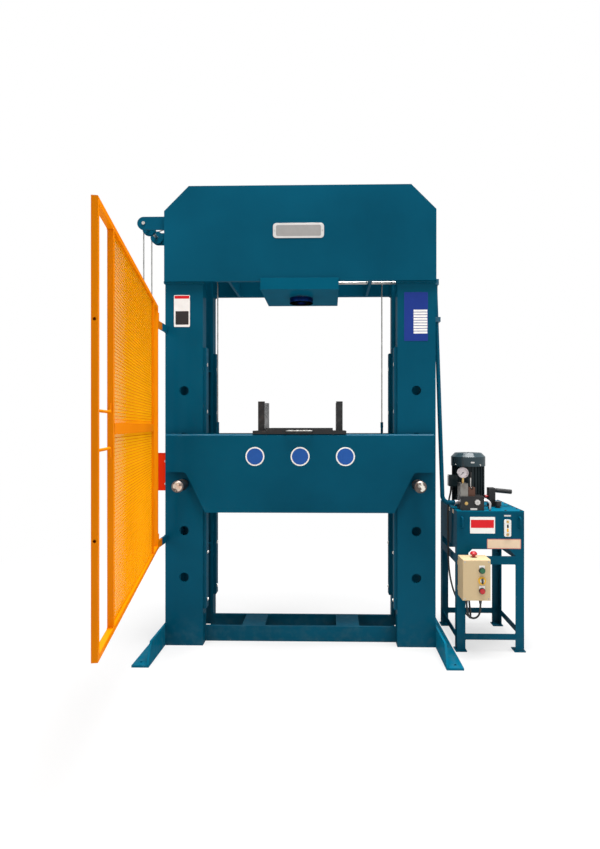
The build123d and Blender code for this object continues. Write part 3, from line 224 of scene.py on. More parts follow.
def bead_tree():
    """Weld ripples: flat balls strung closely along a line, each a little different."""
    tree, start = tree_with("weld_bead", "Pitch", "Radius")
    line = node(tree, "GeometryNodeMeshToCurve", Mesh=start.outputs["Geometry"])
    steps = node(tree, "GeometryNodeResampleCurve", mode="LENGTH", Curve=line.outputs["Curve"],
                 Length=start.outputs["Pitch"])
    ball = node(tree, "GeometryNodeMeshUVSphere", Segments=8, Rings=4, Radius=start.outputs["Radius"])
    smooth = node(tree, "GeometryNodeSetShadeSmooth", Geometry=ball.outputs["Mesh"])
    along = node(tree, "GeometryNodeInputTangent")
    turn = node(tree, "FunctionNodeAlignRotationToVector", axis="Z", Vector=along.outputs["Tangent"])
    swell = node(tree, "FunctionNodeRandomValue", at2=0.88, at3=1.14, Seed=5)
    size = node(tree, "ShaderNodeCombineXYZ", X=swell.outputs[1], Y=swell.outputs[1], Z=0.75)
    ripples = node(tree, "GeometryNodeInstanceOnPoints", Points=steps.outputs["Curve"],
                   Instance=smooth.outputs["Geometry"], Rotation=turn.outputs["Rotation"], Scale=size.outputs["Vector"])
    return close_tree(tree, start, ripples.outputs["Instances"])


weld_bead = bead_tree()
frame_welds, head_welds = [], []
for face in (-1, 1):
    for side in (-1, 1):
        inner, outer, front = side * inner_x, side * outer_x, face * front_y
        head_welds.append([(inner, front, head_low), (outer, front, head_low)])
        frame_welds.append([(inner, face * strip_edges[0], z) for z in (strip_foot, strip_top)])
        frame_welds.append([(outer, front, lip_z), (outer, face * lip_y, lip_z)])
        for stitch in range(stitches):
            low = first_stitch + stitch * stitch_step
            for edge in strip_edges:
                frame_welds.append([(inner, face * edge, z) for z in (low, low + stitch_length)])
    frame_welds.append([(x, face * head_face, mount_top) for x in (-mount_half, mount_half)])
    for z in hinge_weld_z:
        for x in hinge_weld_x:
            frame_welds.append([(x, -front_y, z - reach) for reach in hinge_weld_reach])
for y in bracket_weld_y:
    frame_welds.append([(-outer_x, y, z) for z in bracket_weld_z])
grown("frame_welds", lines_mesh("frame_welds", frame_welds), weld_bead, teal_enamel, "frame", "press_paint",
      Pitch=bead_pitch, Radius=bead_radius)
grown("head_welds", lines_mesh("head_welds", head_welds), weld_bead, teal_enamel, "frame", "press_paint",
      Pitch=head_bead_pitch, Radius=head_bead_radius)


# Ram
# Hard-chromed round bar, ground and polished, with a dark, flat face below. The blue band on its nose is a painted
# reflection of the teal mount plate above it. It slides in the cylinder through the mount plate.
nose_reflection_top, nose_face = 2.150, 2.1206


def chromed(name, shade, rough):
    """Ground chrome: fine turning marks round the axis and faint oil smears."""
    finish, tree, shader = new_finish(name, Metallic=1.0)
    smear = mixed(tree, between(tree, cloud(tree, 9.0, 4.0), 0, 1), shade, tuple(0.8 * c for c in shade))
    tree.links.new(smear, shader.inputs["Base Color"])
    tree.links.new(between(tree, cloud(tree, 14.0), rough, rough + 0.12), shader.inputs["Roughness"])
    relief(tree, shader, cloud(tree, 900.0, 1.0, (0.05, 0.05, 1)), 0.0002, 0.3)
    return finish


def past(axis, edge, way=1):
    """Share that is 1 beyond an edge along one axis of the piece, or short of it with way -1."""
    def share(tree):
        place = node(tree, "ShaderNodeSeparateXYZ", Vector=place_of(tree)).outputs[axis]
        return between(tree, place, way < 0, way > 0, edge - 0.0002, edge + 0.0002)
    return share


def patched(finish, share, colour, bare=True, dull=False):
    """Give part of a finish another colour, with a paint's look where it isn't bare and a dark edge if dull."""
    tree = finish.node_tree
    shader = next(n for n in tree.nodes if n.type == "BSDF_PRINCIPLED")
    first = shader.inputs["Base Color"].links[0].from_socket
    tree.links.new(mixed(tree, share(tree), first, colour), shader.inputs["Base Color"])
    if not bare:
        tree.links.new(between(tree, share(tree), 1, 0, 0, 1), shader.inputs["Metallic"])
    if dull:
        tree.links.new(mixed(tree, share(tree), (1, 1, 1), colour), shader.inputs["Specular Tint"])


ram_chrome = chromed("ram_chrome", (0.62, 0.64, 0.66), 0.16)
# Blue band on the nose: painted reflection of the teal mount plate above it.
patched(ram_chrome, past("Z", nose_reflection_top, -1), (0.012, 0.045, 0.190))
patched(ram_chrome, past("Z", nose_face, -1), (0.030, 0.062, 0.062), dull=True)
dress(ram_chrome, "ram")


# Locating pins and other turned steel
# Pins, sheaves, shafts and fittings are turned from bright bar and left bare, so they show tool marks, stains and a
# little brown tarnish. The pins' outer ends are rubbed bright.
pin_end_y, painted_fitting_x = -0.3440, 0.930


def turned_steel(name, shade, tarnish, rough=0.3, marks=700.0):
    """Bare machined steel: fine tool marks, cloudy tarnish."""
    finish, tree, shader = new_finish(name, Metallic=1.0)
    stain = between(tree, cloud(tree, 26.0, 6.0), 0, 0.6, 0.45, 0.75)
    tree.links.new(mixed(tree, stain, shade, tarnish), shader.inputs["Base Color"])
    tree.links.new(between(tree, cloud(tree, 40.0, 4.0), rough - 0.08, rough + 0.16), shader.inputs["Roughness"])
    relief(tree, shader, cloud(tree, marks, 2.0, (1, 0.08, 1)), 0.0003, 0.5)
    return finish


def rubbed_end(tree):
    """Share of the bright, rubbed part of a pin's outer end."""
    rubbed = between(tree, cloud(tree, 24.0, 2.0), 0, 1, 0.50, 0.56)
    end = past("Y", pin_end_y, -1)(tree)
    return node(tree, "ShaderNodeMath", operation="MULTIPLY", at0=end, at1=rubbed).outputs[0]


bright_steel = turned_steel("bright_steel", (0.50, 0.49, 0.47), (0.20, 0.15, 0.11))
pin_steel = turned_steel("pin_steel", (0.135, 0.110, 0.098), (0.055, 0.038, 0.030), 0.34)
patched(pin_steel, rubbed_end, (0.78, 0.74, 0.66))
dress(pin_steel, "locating_pins")
dress(bright_steel, "sheave_shafts", "head_pipe")
fitting_steel = turned_steel("fitting_steel", (0.58, 0.56, 0.57), (0.34, 0.30, 0.29), 0.28)
patched(fitting_steel, past("X", painted_fitting_x, -1), teal_lit, bare=False)
dress(fitting_steel, "pipe_fittings")
dress(teal_enamel, "pressure_pipe", "rope_anchors")


# Bed
# Two thick side plates with spreaders welded between them, painted as the frame. It rides on the guide strips and hangs
# on its ropes until the pins take the load.
dress(teal_enamel, "bed_plates", "bed_ribs")
bed_weld_x, bed_inner_y, bed_weld_z = (545, 202, 178), 189, (855, 1248)
bed_welds = []
for side in (-1, 1):
    for face in (-1, 1):
        for x in bed_weld_x:
            bed_welds.append([(side * x, face * bed_inner_y, z) for z in bed_weld_z])
grown("bed_welds", lines_mesh("bed_welds", bed_welds), weld_bead, teal_enamel, "bed", "press_paint",
      Pitch=bead_pitch, Radius=bead_radius)


# Vee blocks and press plate
# Flame-cut mild steel, blacked, with rubbed edges where work has lain. The plate has a bright bar handle.
def blacked(name, shade, rubbed, rough=0.42):
    """Blackened steel with a mill texture and worn, paler patches."""
    finish, tree, shader = new_finish(name, Metallic=0.35)
    worn = between(tree, cloud(tree, 18.0, 7.0), 0, 0.55, 0.56, 0.78)
    tree.links.new(mixed(tree, worn, shade, rubbed), shader.inputs["Base Color"])
    tree.links.new(between(tree, cloud(tree, 30.0, 4.0), rough - 0.1, rough + 0.15), shader.inputs["Roughness"])
    relief(tree, shader, cloud(tree, 220.0, 5.0), 0.0008, 0.5)
    return finish


black_steel = blacked("black_steel", (0.010, 0.011, 0.012), (0.06, 0.058, 0.055))
dress(black_steel, "vee_blocks", "press_plate")
handle_steel = turned_steel("handle_steel", (0.20, 0.20, 0.19), (0.10, 0.08, 0.065), 0.36)
dress(handle_steel, "plate_handle")


# Plates and plain fields
# The press carries a silver name plate with two rivets, a white plate with a dark panel, a blue data plate with blank
# rows and three blue discs. All of them are plain.
def film(name, colour, rough=0.35, metal=0.0):
    """Printed film or anodised plate: faint cloudiness and fine grain."""
    finish, tree, shader = new_finish(name, Metallic=metal, Specular_IOR_Level=0.12)
    tone = mixed(tree, between(tree, cloud(tree, 30.0, 4.0), 0, 0.5), colour, tuple(0.86 * c for c in colour))
    tree.links.new(tone, shader.inputs["Base Color"])
    tree.links.new(between(tree, cloud(tree, 60.0), rough - 0.05, rough + 0.1), shader.inputs["Roughness"])
    relief(tree, shader, cloud(tree, 600.0, 2.0), 0.0001, 0.3)
    return finish


def field(name, x, z, y, thick, corner, finish, body, left=False):
    """Flat plate with round corners on a front face at y, or on a left face there, x then being its reach in Y."""
    points = []
    for cx, cz, first in ((x[1], z[1], 0), (x[0], z[1], 90), (x[0], z[0], 180), (x[1], z[0], 270)):
        sx, sz = (1 if cx == x[1] else -1), (1 if cz == z[1] else -1)
        for step in range(7):
            turn = math.radians(first + 15 * step)
            points.append((cx - sx * corner + corner * math.cos(turn), cz - sz * corner + corner * math.sin(turn)))
    shape = bmesh.new()
    flat = [Vector((y - thick, px, pz) if left else (px, y - thick, pz)) / 1000 for px, pz in points]
    front = shape.faces.new([shape.verts.new(point) for point in flat])
    back = bmesh.ops.extrude_face_region(shape, geom=[front])["geom"]
    moved = [v for v in back if isinstance(v, bmesh.types.BMVert)]
    bmesh.ops.translate(shape, verts=moved, vec=Vector((thick, 0, 0) if left else (0, thick, 0)) / 1000)
    bmesh.ops.recalc_face_normals(shape, faces=shape.faces)
    mesh = bpy.data.meshes.new(name)
    shape.to_mesh(mesh)
    shape.free()
    mesh.materials.append(finish)
    piece = show(name, mesh, body)
    edge = piece.modifiers.new("edge", "BEVEL")
    edge.width, edge.segments, edge.limit_method = min(0.0004, thick / 3000), 2, "ANGLE"
    return piece


silver_film = film("silver_film", (0.62, 0.60, 0.58), 0.32, 0.8)
grey_film = film("grey_film", (0.30, 0.29, 0.28), 0.4, 0.6)
white_film = film("white_film", (0.80, 0.79, 0.76))
blue_film = film("blue_film", (0.012, 0.034, 0.205))
disc_film = film("disc_film", (0.018, 0.085, 0.320))
dark_film = film("dark_film", (0.030, 0.027, 0.027))
red_film = film("red_film", (0.62, 0.016, 0.022))
cream_film = film("cream_film", (0.70, 0.54, 0.38))

field("name_plate", (-160, 147), (2466, 2556), -head_face, 2.0, 20, silver_film, "frame")
field("name_plate_panel", (-142, 129), (2478, 2544), -head_face - 1.8, 0.6, 10, grey_film, "frame")
field("white_plate", (-767, -669), (1938, 2132), -front_y, 1.0, 6, white_film, "frame")
field("white_plate_panel", (-757, -677), (1952, 2034), -front_y - 0.9, 0.4, 3, dark_film, "frame")
field("white_plate_band", (-763, -673), (2110, 2128), -front_y - 0.9, 0.4, 3, red_film, "frame")
field("data_plate", (630, 774), (1848, 2143), -front_y, 1.2, 6, blue_film, "frame")
rows, first_row, row_step, row_height = 9, 1893, 16.4, 12.6
for row in range(rows):
    low = first_row + row_step * row
    field(f"data_plate_row_{row}", (687, 770), (low, low + row_height), -front_y - 1.1, 0.4, 1, white_film, "frame")
bed_face, disc_z, disc_radius, centre_radius = -231, 1152.5, 57, 49
for number, x in enumerate((-267, 4, 275)):
    for name, radius, y, thick, finish in ((f"disc_{number}", disc_radius, bed_face, 0.8, white_film),
                                           (f"disc_centre_{number}", centre_radius, bed_face - 0.7, 0.5, disc_film)):
        field(name, (x - radius, x + radius), (disc_z - radius, disc_z + radius), y, thick, radius, finish, "bed")


def head_tree():
    """Bolt or rivet heads: a washer and a chamfered head on each point, looking along the axis."""
    tree, start = tree_with("bolt_heads", "Radius", "Height", "Sides", "Axis X", "Axis Y", "Axis Z")
    axis = node(tree, "ShaderNodeCombineXYZ", X=start.outputs["Axis X"], Y=start.outputs["Axis Y"],
                Z=start.outputs["Axis Z"])
    turn = node(tree, "FunctionNodeAlignRotationToVector", axis="Z", Vector=axis.outputs["Vector"])
    wide = node(tree, "ShaderNodeMath", operation="MULTIPLY", at0=start.outputs["Radius"], at1=1.3)
    slim = node(tree, "ShaderNodeMath", operation="MULTIPLY", at0=start.outputs["Radius"], at1=0.82)
    washer_height = node(tree, "ShaderNodeMath", operation="MULTIPLY", at0=start.outputs["Height"], at1=0.25)
    washer = node(tree, "GeometryNodeMeshCone", Vertices=14, Radius_Top=wide.outputs[0], Radius_Bottom=wide.outputs[0],
                  Depth=washer_height.outputs[0])
    sides = node(tree, "FunctionNodeFloatToInt", Float=start.outputs["Sides"])
    head = node(tree, "GeometryNodeMeshCone", Vertices=sides.outputs[0], Radius_Top=slim.outputs[0],
                Radius_Bottom=start.outputs["Radius"], Depth=start.outputs["Height"])
    both = tree.nodes.new("GeometryNodeJoinGeometry")
    for shape in (washer, head):
        tree.links.new(shape.outputs["Mesh"], both.inputs["Geometry"])
    points = node(tree, "GeometryNodeMeshToPoints", Mesh=start.outputs["Geometry"])
    heads = node(tree, "GeometryNodeInstanceOnPoints", Points=points.outputs["Points"],
                 Instance=both.outputs["Geometry"], Rotation=turn.outputs["Rotation"])
    return close_tree(tree, start, heads.outputs["Instances"])


bolt_heads = head_tree()


def bolts(name, points, radius, height, axis, finish, body, slot, sides=6):
    """Row of like heads that stand on a face and look along one axis."""
    mesh = bpy.data.meshes.new(name)
    mesh.from_pydata([Vector(p) / 1000 for p in points], [], [])
    return grown(name, mesh, bolt_heads, finish, body, slot, Radius=radius / 1000, Height=height / 1000,
                 Sides=float(sides), Axis_X=float(axis[0]), Axis_Y=float(axis[1]), Axis_Z=float(axis[2]))


strip_face, strip_line, bolt_heights, stud_heights = 572, 145, (270, 560), (848, 1136, 1424, 1712)
for side in (-1, 1):
    low_bolts = [(side * strip_face, face * strip_line, z) for face in (-1, 1) for z in bolt_heights]
    high_bolts = [(side * strip_face, face * strip_line, z) for face in (-1, 1) for z in stud_heights]
    name = "left" if side < 0 else "right"
    bolts(f"guide_bolts_{name}", low_bolts, 9, 7, (-side, 0, 0), bright_steel, "frame", "bright_steel")
    bolts(f"guide_studs_{name}", high_bolts, 9, 1.2, (-side, 0, 0), bright_steel, "frame", "bright_steel")
rivet_y, rivet_z = -217, 2511
bolts("name_plate_rivets", [(x, rivet_y, rivet_z) for x in (-151, 138)], 4, 2.5, (0, -1, 0), bright_steel, "frame",
      "bright_steel", sides=12)


# Sheaves and hoist ropes
# Grooved wheels turn on fixed shafts. Each rope is laid from six wire strands and runs from the drum over the outer
# sheave and the head sheaves, then hangs down to its socket on the bed.
sheave_steel = turned_steel("sheave_steel", (0.13, 0.14, 0.145), (0.06, 0.05, 0.042), 0.42)
dress(sheave_steel, "head_left_sheaves", "head_right_sheave")
dress(teal_enamel, "outer_sheaves", "pulley_brackets")

rope_radius, rope_lay, rope_side = 0.004, 0.055, 78
sheave_pitch, outer_sheave, left_sheave, right_sheave = 35, (-955.5, 2574), (-557, 2720), (487, 2720)
drop_x, drop_top, socket_top, drum_z = 522, 2720, 1360, 1045


def wire_finish():
    """Galvanised wire: dull grey strands, darker with grease in patches."""
    finish, tree, shader = new_finish("rope_wire", Metallic=0.9)
    grease = between(tree, cloud(tree, 35.0, 5.0), 0, 0.7, 0.4, 0.75)
    tree.links.new(mixed(tree, grease, (0.36, 0.36, 0.35), (0.12, 0.115, 0.105)), shader.inputs["Base Color"])
    tree.links.new(between(tree, cloud(tree, 80.0), 0.38, 0.6), shader.inputs["Roughness"])
    relief(tree, shader, cloud(tree, 1500.0, 1.0), 0.0002, 0.5)
    return finish


def rope_tree():
    """Laid rope: a six-lobed section swept along a line and turned once in each lay length."""
    tree, start = tree_with("laid_rope", "Radius", "Lay")
    line = node(tree, "GeometryNodeMeshToCurve", Mesh=start.outputs["Geometry"])
    even = node(tree, "GeometryNodeResampleCurve", mode="LENGTH", Curve=line.outputs["Curve"], Length=0.005)
    along = node(tree, "GeometryNodeSplineParameter")
    turns = node(tree, "ShaderNodeMath", operation="DIVIDE", at0=along.outputs["Length"], at1=start.outputs["Lay"])
    angle = node(tree, "ShaderNodeMath", operation="MULTIPLY", at0=turns.outputs[0], at1=2 * math.pi)
    tilted = node(tree, "GeometryNodeSetCurveTilt", Curve=even.outputs["Curve"], Tilt=angle.outputs[0])
    inner = node(tree, "ShaderNodeMath", operation="MULTIPLY", at0=start.outputs["Radius"], at1=0.72)
    section = node(tree, "GeometryNodeCurveStar", Points=6, Inner_Radius=inner.outputs[0],
                   Outer_Radius=start.outputs["Radius"])
    swept = node(tree, "GeometryNodeCurveToMesh", Curve=tilted.outputs["Curve"], Profile_Curve=section.outputs["Curve"],
                 Fill_Caps=True)
    smooth = node(tree, "GeometryNodeSetShadeSmooth", Geometry=swept.outputs["Mesh"])
    return close_tree(tree, start, smooth.outputs["Geometry"])


def arc_points(centre, start, end, count=12):
    """Points of an arc round a sheave, in X and Z."""
    turns = [math.radians(start + (end - start) * step / count) for step in range(count + 1)]
    return [(centre[0] + sheave_pitch * math.cos(t), centre[1] + sheave_pitch * math.sin(t)) for t in turns]


def rope_line(y, last):
    """Line of one hoist rope from the drum to the top of its drop."""
    lift = math.degrees(math.atan2(left_sheave[1] - outer_sheave[1], left_sheave[0] - outer_sheave[0]))
    line = [(outer_sheave[0] - sheave_pitch, drum_z)] + arc_points(outer_sheave, 180, 90 + lift)
    if last == left_sheave:
        line += arc_points(left_sheave, 90 + lift, 0)
    else:
        line += arc_points(left_sheave, 90 + lift, 90) + arc_points(last, 90, 0)
    return [(x, y, z) for x, z in line]


rope_wire = wire_finish()
laid_rope = rope_tree()
hoist_lines = lines_mesh("hoist_lines", [rope_line(-rope_side, left_sheave), rope_line(rope_side, right_sheave)])
hoist_ropes = grown("laid_hoist_ropes", hoist_lines, laid_rope, rope_wire, "frame", "rope_steel", Radius=rope_radius,
                    Lay=rope_lay)
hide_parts("hoist_ropes")

drop_lines = lines_mesh("drop_lines", [[(side * drop_x, side * rope_side, z) for z in (drop_top, socket_top)]
                                       for side in (-1, 1)])
drop_ropes = grown("laid_drop_ropes", drop_lines, laid_rope, rope_wire, None, "rope_steel", Radius=rope_radius,
                   Lay=rope_lay)
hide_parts("drop_ropes")
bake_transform(drop_ropes)


# Winch
# Pressed red cheeks on a back plate, with a closed gear case at the rear. The drum is a turned core with two flanges
# and a divider, and each rope has a few spare turns on it.
red_enamel = enamel("red_enamel", (0.80, 0.022, 0.003), (0.90, 0.036, 0.005), 0.28)
dress(red_enamel, "winch_frame")
dress(sheave_steel, "winch_drum", "winch_crank")
drum_x, coil_radius, coil_pitch, coil_steps, spare_turns = -946.5, 44.7, 7.6, 24, 2
winch_front, case_back = -110, 170


def coil_line(first_y):
    """Helix of the spare turns on the drum."""
    line = []
    for step in range(coil_steps * spare_turns + 1):
        turn = 2 * math.pi * step / coil_steps
        y = first_y + coil_pitch * step / coil_steps
        line.append((drum_x + coil_radius * math.cos(turn), y, drum_z + coil_radius * math.sin(turn)))
    return line


grown("drum_turns", lines_mesh("drum_turns", [coil_line(-69), coil_line(53.8)]), laid_rope, rope_wire, "drum",
      "rope_steel", Radius=rope_radius, Lay=rope_lay)
bolts("winch_bolts", [(x, winch_front, z) for x in (-1020, -840) for z in (975, 1115)], 7, 5, (0, -1, 0), bright_steel,
      "frame", "bright_steel")
bolts("gear_case_bolts", [(x, case_back, z) for x in (-1030, -890) for z in (995, 1095)], 5, 4, (0, 1, 0), bright_steel,
      "frame", "bright_steel")


def plastic(name, colour, rough=0.4, grain=300.0):
    """Moulded plastic: even colour, fine grain."""
    finish, tree, shader = new_finish(name)
    tone = mixed(tree, between(tree, cloud(tree, 25.0, 3.0), 0, 0.5), colour, tuple(0.8 * c for c in colour))
    tree.links.new(tone, shader.inputs["Base Color"])
    tree.links.new(between(tree, cloud(tree, 50.0), rough - 0.06, rough + 0.1), shader.inputs["Roughness"])
    relief(tree, shader, cloud(tree, grain, 3.0), 0.0002, 0.4)
    return finish


black_plastic = plastic("black_plastic", (0.012, 0.012, 0.013))
dress(black_plastic, "crank_grip")


# Guard
# Square steel tube welded into a gate with a mesh panel above and below the middle rail, all sprayed orange. It hangs
# on two lift-off hinges at the press's left front corner.
orange_enamel = enamel("orange_enamel", (0.68, 0.172, 0.0008), (0.76, 0.215, 0.0012), 0.34, 0.0)
dress(orange_enamel, "guard_outer_frame", "guard_inner_frame")
# The upright wires take a lighter, yellower copy of the orange, which is painted light falling on them from above and
# behind.
lit_wire_enamel = enamel("lit_wire_enamel", (0.86, 0.400, 0.002), (0.94, 0.470, 0.004), 0.34, 0.0)
hinge_enamel = enamel("hinge_enamel", teal_deep, teal_lit)
# The bracket tips take the guard's orange, in a darker tone that also holds painted shade from the guard beside them.
hinge_tip_y = -0.290
patched(hinge_enamel, past("Y", hinge_tip_y, -1), (0.52, 0.135, 0.002))
dress(hinge_enamel, "hinge_brackets")
hinge_place, guard_turn = (-814, -372), math.radians(-79)
mesh_span, wire_radius, level_pitch, upright_pitch, wire_offset = (222.5, 1291), 0.0014, 12.5, 16, 1.1
gate_foot, gate_top = 650, 2002
panels = ((gate_foot, 1306), (1346, gate_top))
tube_half, fine_bead_pitch, fine_bead_radius = 10, 0.004, 0.003


def on_guard(along, across, z):
    """Point on the open guard, from its distance along the gate, across it and its height."""
    c, s = math.cos(guard_turn), math.sin(guard_turn)
    return (hinge_place[0] + along * c - across * s, hinge_place[1] + along * s + across * c, z)


def wire_tree():
    """Round wires along the lines of a mesh."""
    tree, start = tree_with("round_wires", "Radius")
    line = node(tree, "GeometryNodeMeshToCurve", Mesh=start.outputs["Geometry"])
    section = node(tree, "GeometryNodeCurvePrimitiveCircle", Resolution=6, Radius=start.outputs["Radius"])
    swept = node(tree, "GeometryNodeCurveToMesh", Curve=line.outputs["Curve"], Profile_Curve=section.outputs["Curve"],
                 Fill_Caps=True)
    return close_tree(tree, start, swept.outputs["Mesh"])


round_wires = wire_tree()
level_wires, upright_wires = [], []
for low, high in panels:
    levels = round((high - low) / level_pitch)
    for step in range(1, levels):
        z = low + (high - low) * step / levels
        level_wires.append([on_guard(along, wire_offset, z) for along in mesh_span])
    uprights = round((mesh_span[1] - mesh_span[0]) / upright_pitch)
    for step in range(1, uprights):
        along = mesh_span[0] + (mesh_span[1] - mesh_span[0]) * step / uprights
        upright_wires.append([on_guard(along, -wire_offset, z) for z in (low, high)])
for name, wires, finish in (("level_wires", level_wires, orange_enamel), ("upright_wires", upright_wires, lit_wire_enamel)):
    mesh_wires = grown(name, lines_mesh(name, wires), round_wires, finish, "guard", "guard_paint", Radius=wire_radius)
    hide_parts("guard_mesh")

gate_edges, middle_rail = (37.5, 202.5, 222.5, 1291, 1311, 1521), (1308, 1344)
gate_welds = []
for along in gate_edges:
    for z in (gate_foot, gate_top):
        gate_welds.append([on_guard(along, across, z) for across in (0.5 - tube_half, tube_half - 0.5)])
for along in mesh_span:
    for across in (-tube_half, tube_half):
        gate_welds.append([on_guard(along, across, z) for z in middle_rail])
grown("gate_welds", lines_mesh("gate_welds", gate_welds), weld_bead, orange_enamel, "guard", "guard_paint",
      Pitch=fine_bead_pitch, Radius=fine_bead_radius)


# Stand and tank
# Angle-iron stand with flat rails, and a folded sheet tank with a screwed lid, painted as the press. The tank carries
# plain printed fields and a level gauge.
dress(teal_enamel, "stand", "oil_tank", "tank_ears")
# The lid's lighter teal is painted light from above.
dress(top_lit_enamel, "tank_lid")
tank_front, tank_left, lid_top = -245, 935, 833
lid_front, lid_back, lid_left, lid_right, lid_step = -232, 212, 950, 1316, 74
lid_screws = [(lid_right, lid_front + lid_step * step, lid_top) for step in range(7)]
lid_screws += [(lid_left, lid_front + lid_step * step, lid_top) for step in (4, 5, 6)]
lid_screws += [(x, y, lid_top) for x in (1133, 1225) for y in (lid_front, lid_back)] + [(1041, lid_back, lid_top)]
bolts("lid_screws", lid_screws, 6, 4, (0, 0, 1), black_steel, "frame", "black_steel")
field("tank_field", (1012, 1159), (699, 797), tank_front, 0.6, 3, white_film, "frame")
field("tank_field_red", (1017, 1152), (732, 780), tank_front - 0.5, 0.3, 2, red_film, "frame")
field("tank_tag", (1212, 1252), (800, 809), tank_front, 0.5, 2, silver_film, "frame")
for number, low in enumerate((-160, -50)):
    field(f"side_tag_{number}", (low, low + 40), (803, 828), tank_left, 0.6, 2, cream_film, "frame",
          left=True)
leg_side, leg_wall, stand_right, stand_back = 50, 5, 1330, 225
rail_edges, foot_weld_z, foot_weld_inset = (70, 105, 516, 565), 6, 3
stand_welds = []
for leg_x, way in ((tank_left, 1), (stand_right, -1)):
    edge_x = leg_x + way * leg_side
    for leg_y, inward in ((tank_front, 1), (stand_back, -1)):
        for z in rail_edges:
            stand_welds.append([(edge_x, y, z) for y in (leg_y, leg_y + inward * leg_wall)])
        stand_welds.append([(x, leg_y + inward * foot_weld_inset, foot_weld_z) for x in (leg_x, edge_x)])
grown("stand_welds", lines_mesh("stand_welds", stand_welds), weld_bead, teal_enamel, "frame", "press_paint",
      Pitch=fine_bead_pitch, Radius=fine_bead_radius)
pink_film = film("pink_film", (0.56, 0.20, 0.165))
field("tank_notice", (1112, 1311), (609, 667), tank_front, 0.5, 3, pink_film, "frame")
field("tank_notice_panel", (1116, 1307), (613, 663), tank_front - 0.4, 0.3, 2, cream_film, "frame")


# Motor
# Finned cast body, stood on its flange, with a pressed fan cowl on top and a terminal box at the left. It is sprayed a
# dark green-black.
motor_enamel = enamel("motor_enamel", (0.008, 0.015, 0.017), (0.014, 0.024, 0.027), 0.32, 0.0, 0.3)
cowl_enamel = enamel("cowl_enamel", (0.018, 0.036, 0.044), (0.030, 0.052, 0.062), 0.20, 0.0, 0.5)
dress(motor_enamel, "motor")
dress(cowl_enamel, "motor_cowl")
dress(black_plastic, "motor_fan")
motor_x, motor_y, cowl_radius, cowl_screw_z, flange_reach, flange_top = 1057, -20, 105, 1094, 76, 853
terminal_left, terminal_face, cowl_front = 925, 923, -124.6
for number, turn in enumerate((30, 120, 210, 300)):
    way = (math.cos(math.radians(turn)), math.sin(math.radians(turn)), 0)
    spot = (motor_x + cowl_radius * way[0], motor_y + cowl_radius * way[1], cowl_screw_z)
    bolts(f"cowl_screw_{number}", [spot], 4.5, 2.4, way, bright_steel, "frame", "bright_steel", sides=12)
field("terminal_cover", (-79, -41), (961, 1029), terminal_left, 2.0, 4, cowl_enamel, "frame", left=True)
bolts("terminal_screws", [(terminal_face, y, z) for y in (-73, -47) for z in (967, 1023)], 3, 1.6, (-1, 0, 0),
      bright_steel, "frame", "bright_steel", sides=10)
motor_bolts = [(motor_x + flange_reach * x, motor_y + flange_reach * y, flange_top)
               for x in (-0.7, 0.7) for y in (-0.7, 0.7)]
bolts("motor_bolts", motor_bolts, 6, 5, (0, 0, 1), black_steel, "frame", "black_steel")
field("cowl_tag", (1048, 1070), (1106, 1115), cowl_front, 0.8, 2, silver_film, "frame")


# Manifold, valves and gauge
# Blacked steel blocks bolted to the lid carry a lever valve, a relief dial and a white-faced gauge on a brass stem.
# Socket screws hold the blocks, and a brass plug closes a spare port.
valve_edge_x, knob_edge_z, stem_top_z = 1.008, 1.0228, 1.0235
valve_black = blacked("valve_black", (0.012, 0.013, 0.014), (0.035, 0.035, 0.034), 0.38)
valve_grey = turned_steel("valve_grey", (0.24, 0.23, 0.21), (0.12, 0.10, 0.08), 0.42)
brass = turned_steel("brass", (0.62, 0.43, 0.16), (0.35, 0.22, 0.09), 0.28)
dress(valve_black, "manifold")
patched(valve_grey, past("X", valve_edge_x), (0.115, 0.062, 0.046))
dress(valve_grey, "valve_blocks")
lever_steel = turned_steel("lever_steel", (0.56, 0.55, 0.53), (0.30, 0.27, 0.24), 0.26)
patched(lever_steel, past("Z", knob_edge_z), (0.035, 0.034, 0.033))
dress(lever_steel, "valve_lever")
dial_white = film("dial_white", (0.66, 0.61, 0.62))
gauge_case = turned_steel("gauge_case", (0.56, 0.50, 0.51), (0.30, 0.27, 0.27), 0.24)
patched(gauge_case, past("Z", stem_top_z, -1), (0.62, 0.43, 0.16))
dress(gauge_case, "pressure_gauge")
dress(black_plastic, "gauge_needle")
dress(silver_film, "relief_dial")
gauge_x, gauge_z, dial_y, dial_radius, dial_thick = 983.5, 1053.5, -191.0, 27.2, 0.15
dial_x, dial_z = [(centre - dial_radius, centre + dial_radius) for centre in (gauge_x, gauge_z)]
field("gauge_dial", dial_x, dial_z, dial_y, dial_thick, dial_radius, dial_white, "frame")
manifold_y, block_top, relief_y = -235, 992, -249.4
socket_screws = [(x, manifold_y, z) for x in (970, 1090) for z in (842, 908)]
bolts("manifold_screws", socket_screws, 4.5, 3.5, (0, -1, 0), black_steel, "frame", "black_steel", sides=12)
bolts("manifold_plug", [(993, manifold_y, 875)], 8, 5, (0, -1, 0), brass, "frame", "bright_steel")
field("manifold_tag", (1017, 1057), (836, 847), manifold_y, 0.8, 1.5, silver_film, "frame")
bolts("block_screws", [(x, y, block_top) for x in (968, 999) for y in (-215, -155)], 4.5, 4, (0, 0, 1), black_steel,
      "frame", "black_steel", sides=12)
bolts("relief_cap", [(1056, relief_y, 883)], 5, 2.5, (0, -1, 0), bright_steel, "dial", "bright_steel")
marks, first_mark, mark_turn, mark_end, mark_radius = 28, -45, 10, 25.8, 0.00045
dial_marks = []
for step in range(marks):
    turn = math.radians(first_mark + mark_turn * step)
    reaches = (21 if step % 4 == 0 else 23.5, mark_end)
    dial_marks.append([(gauge_x + reach * math.cos(turn), dial_y - dial_thick, gauge_z + reach * math.sin(turn))
                       for reach in reaches])
grown("dial_marks", lines_mesh("dial_marks", dial_marks), round_wires, dark_film, "frame", "black_plastic",
      Radius=mark_radius)


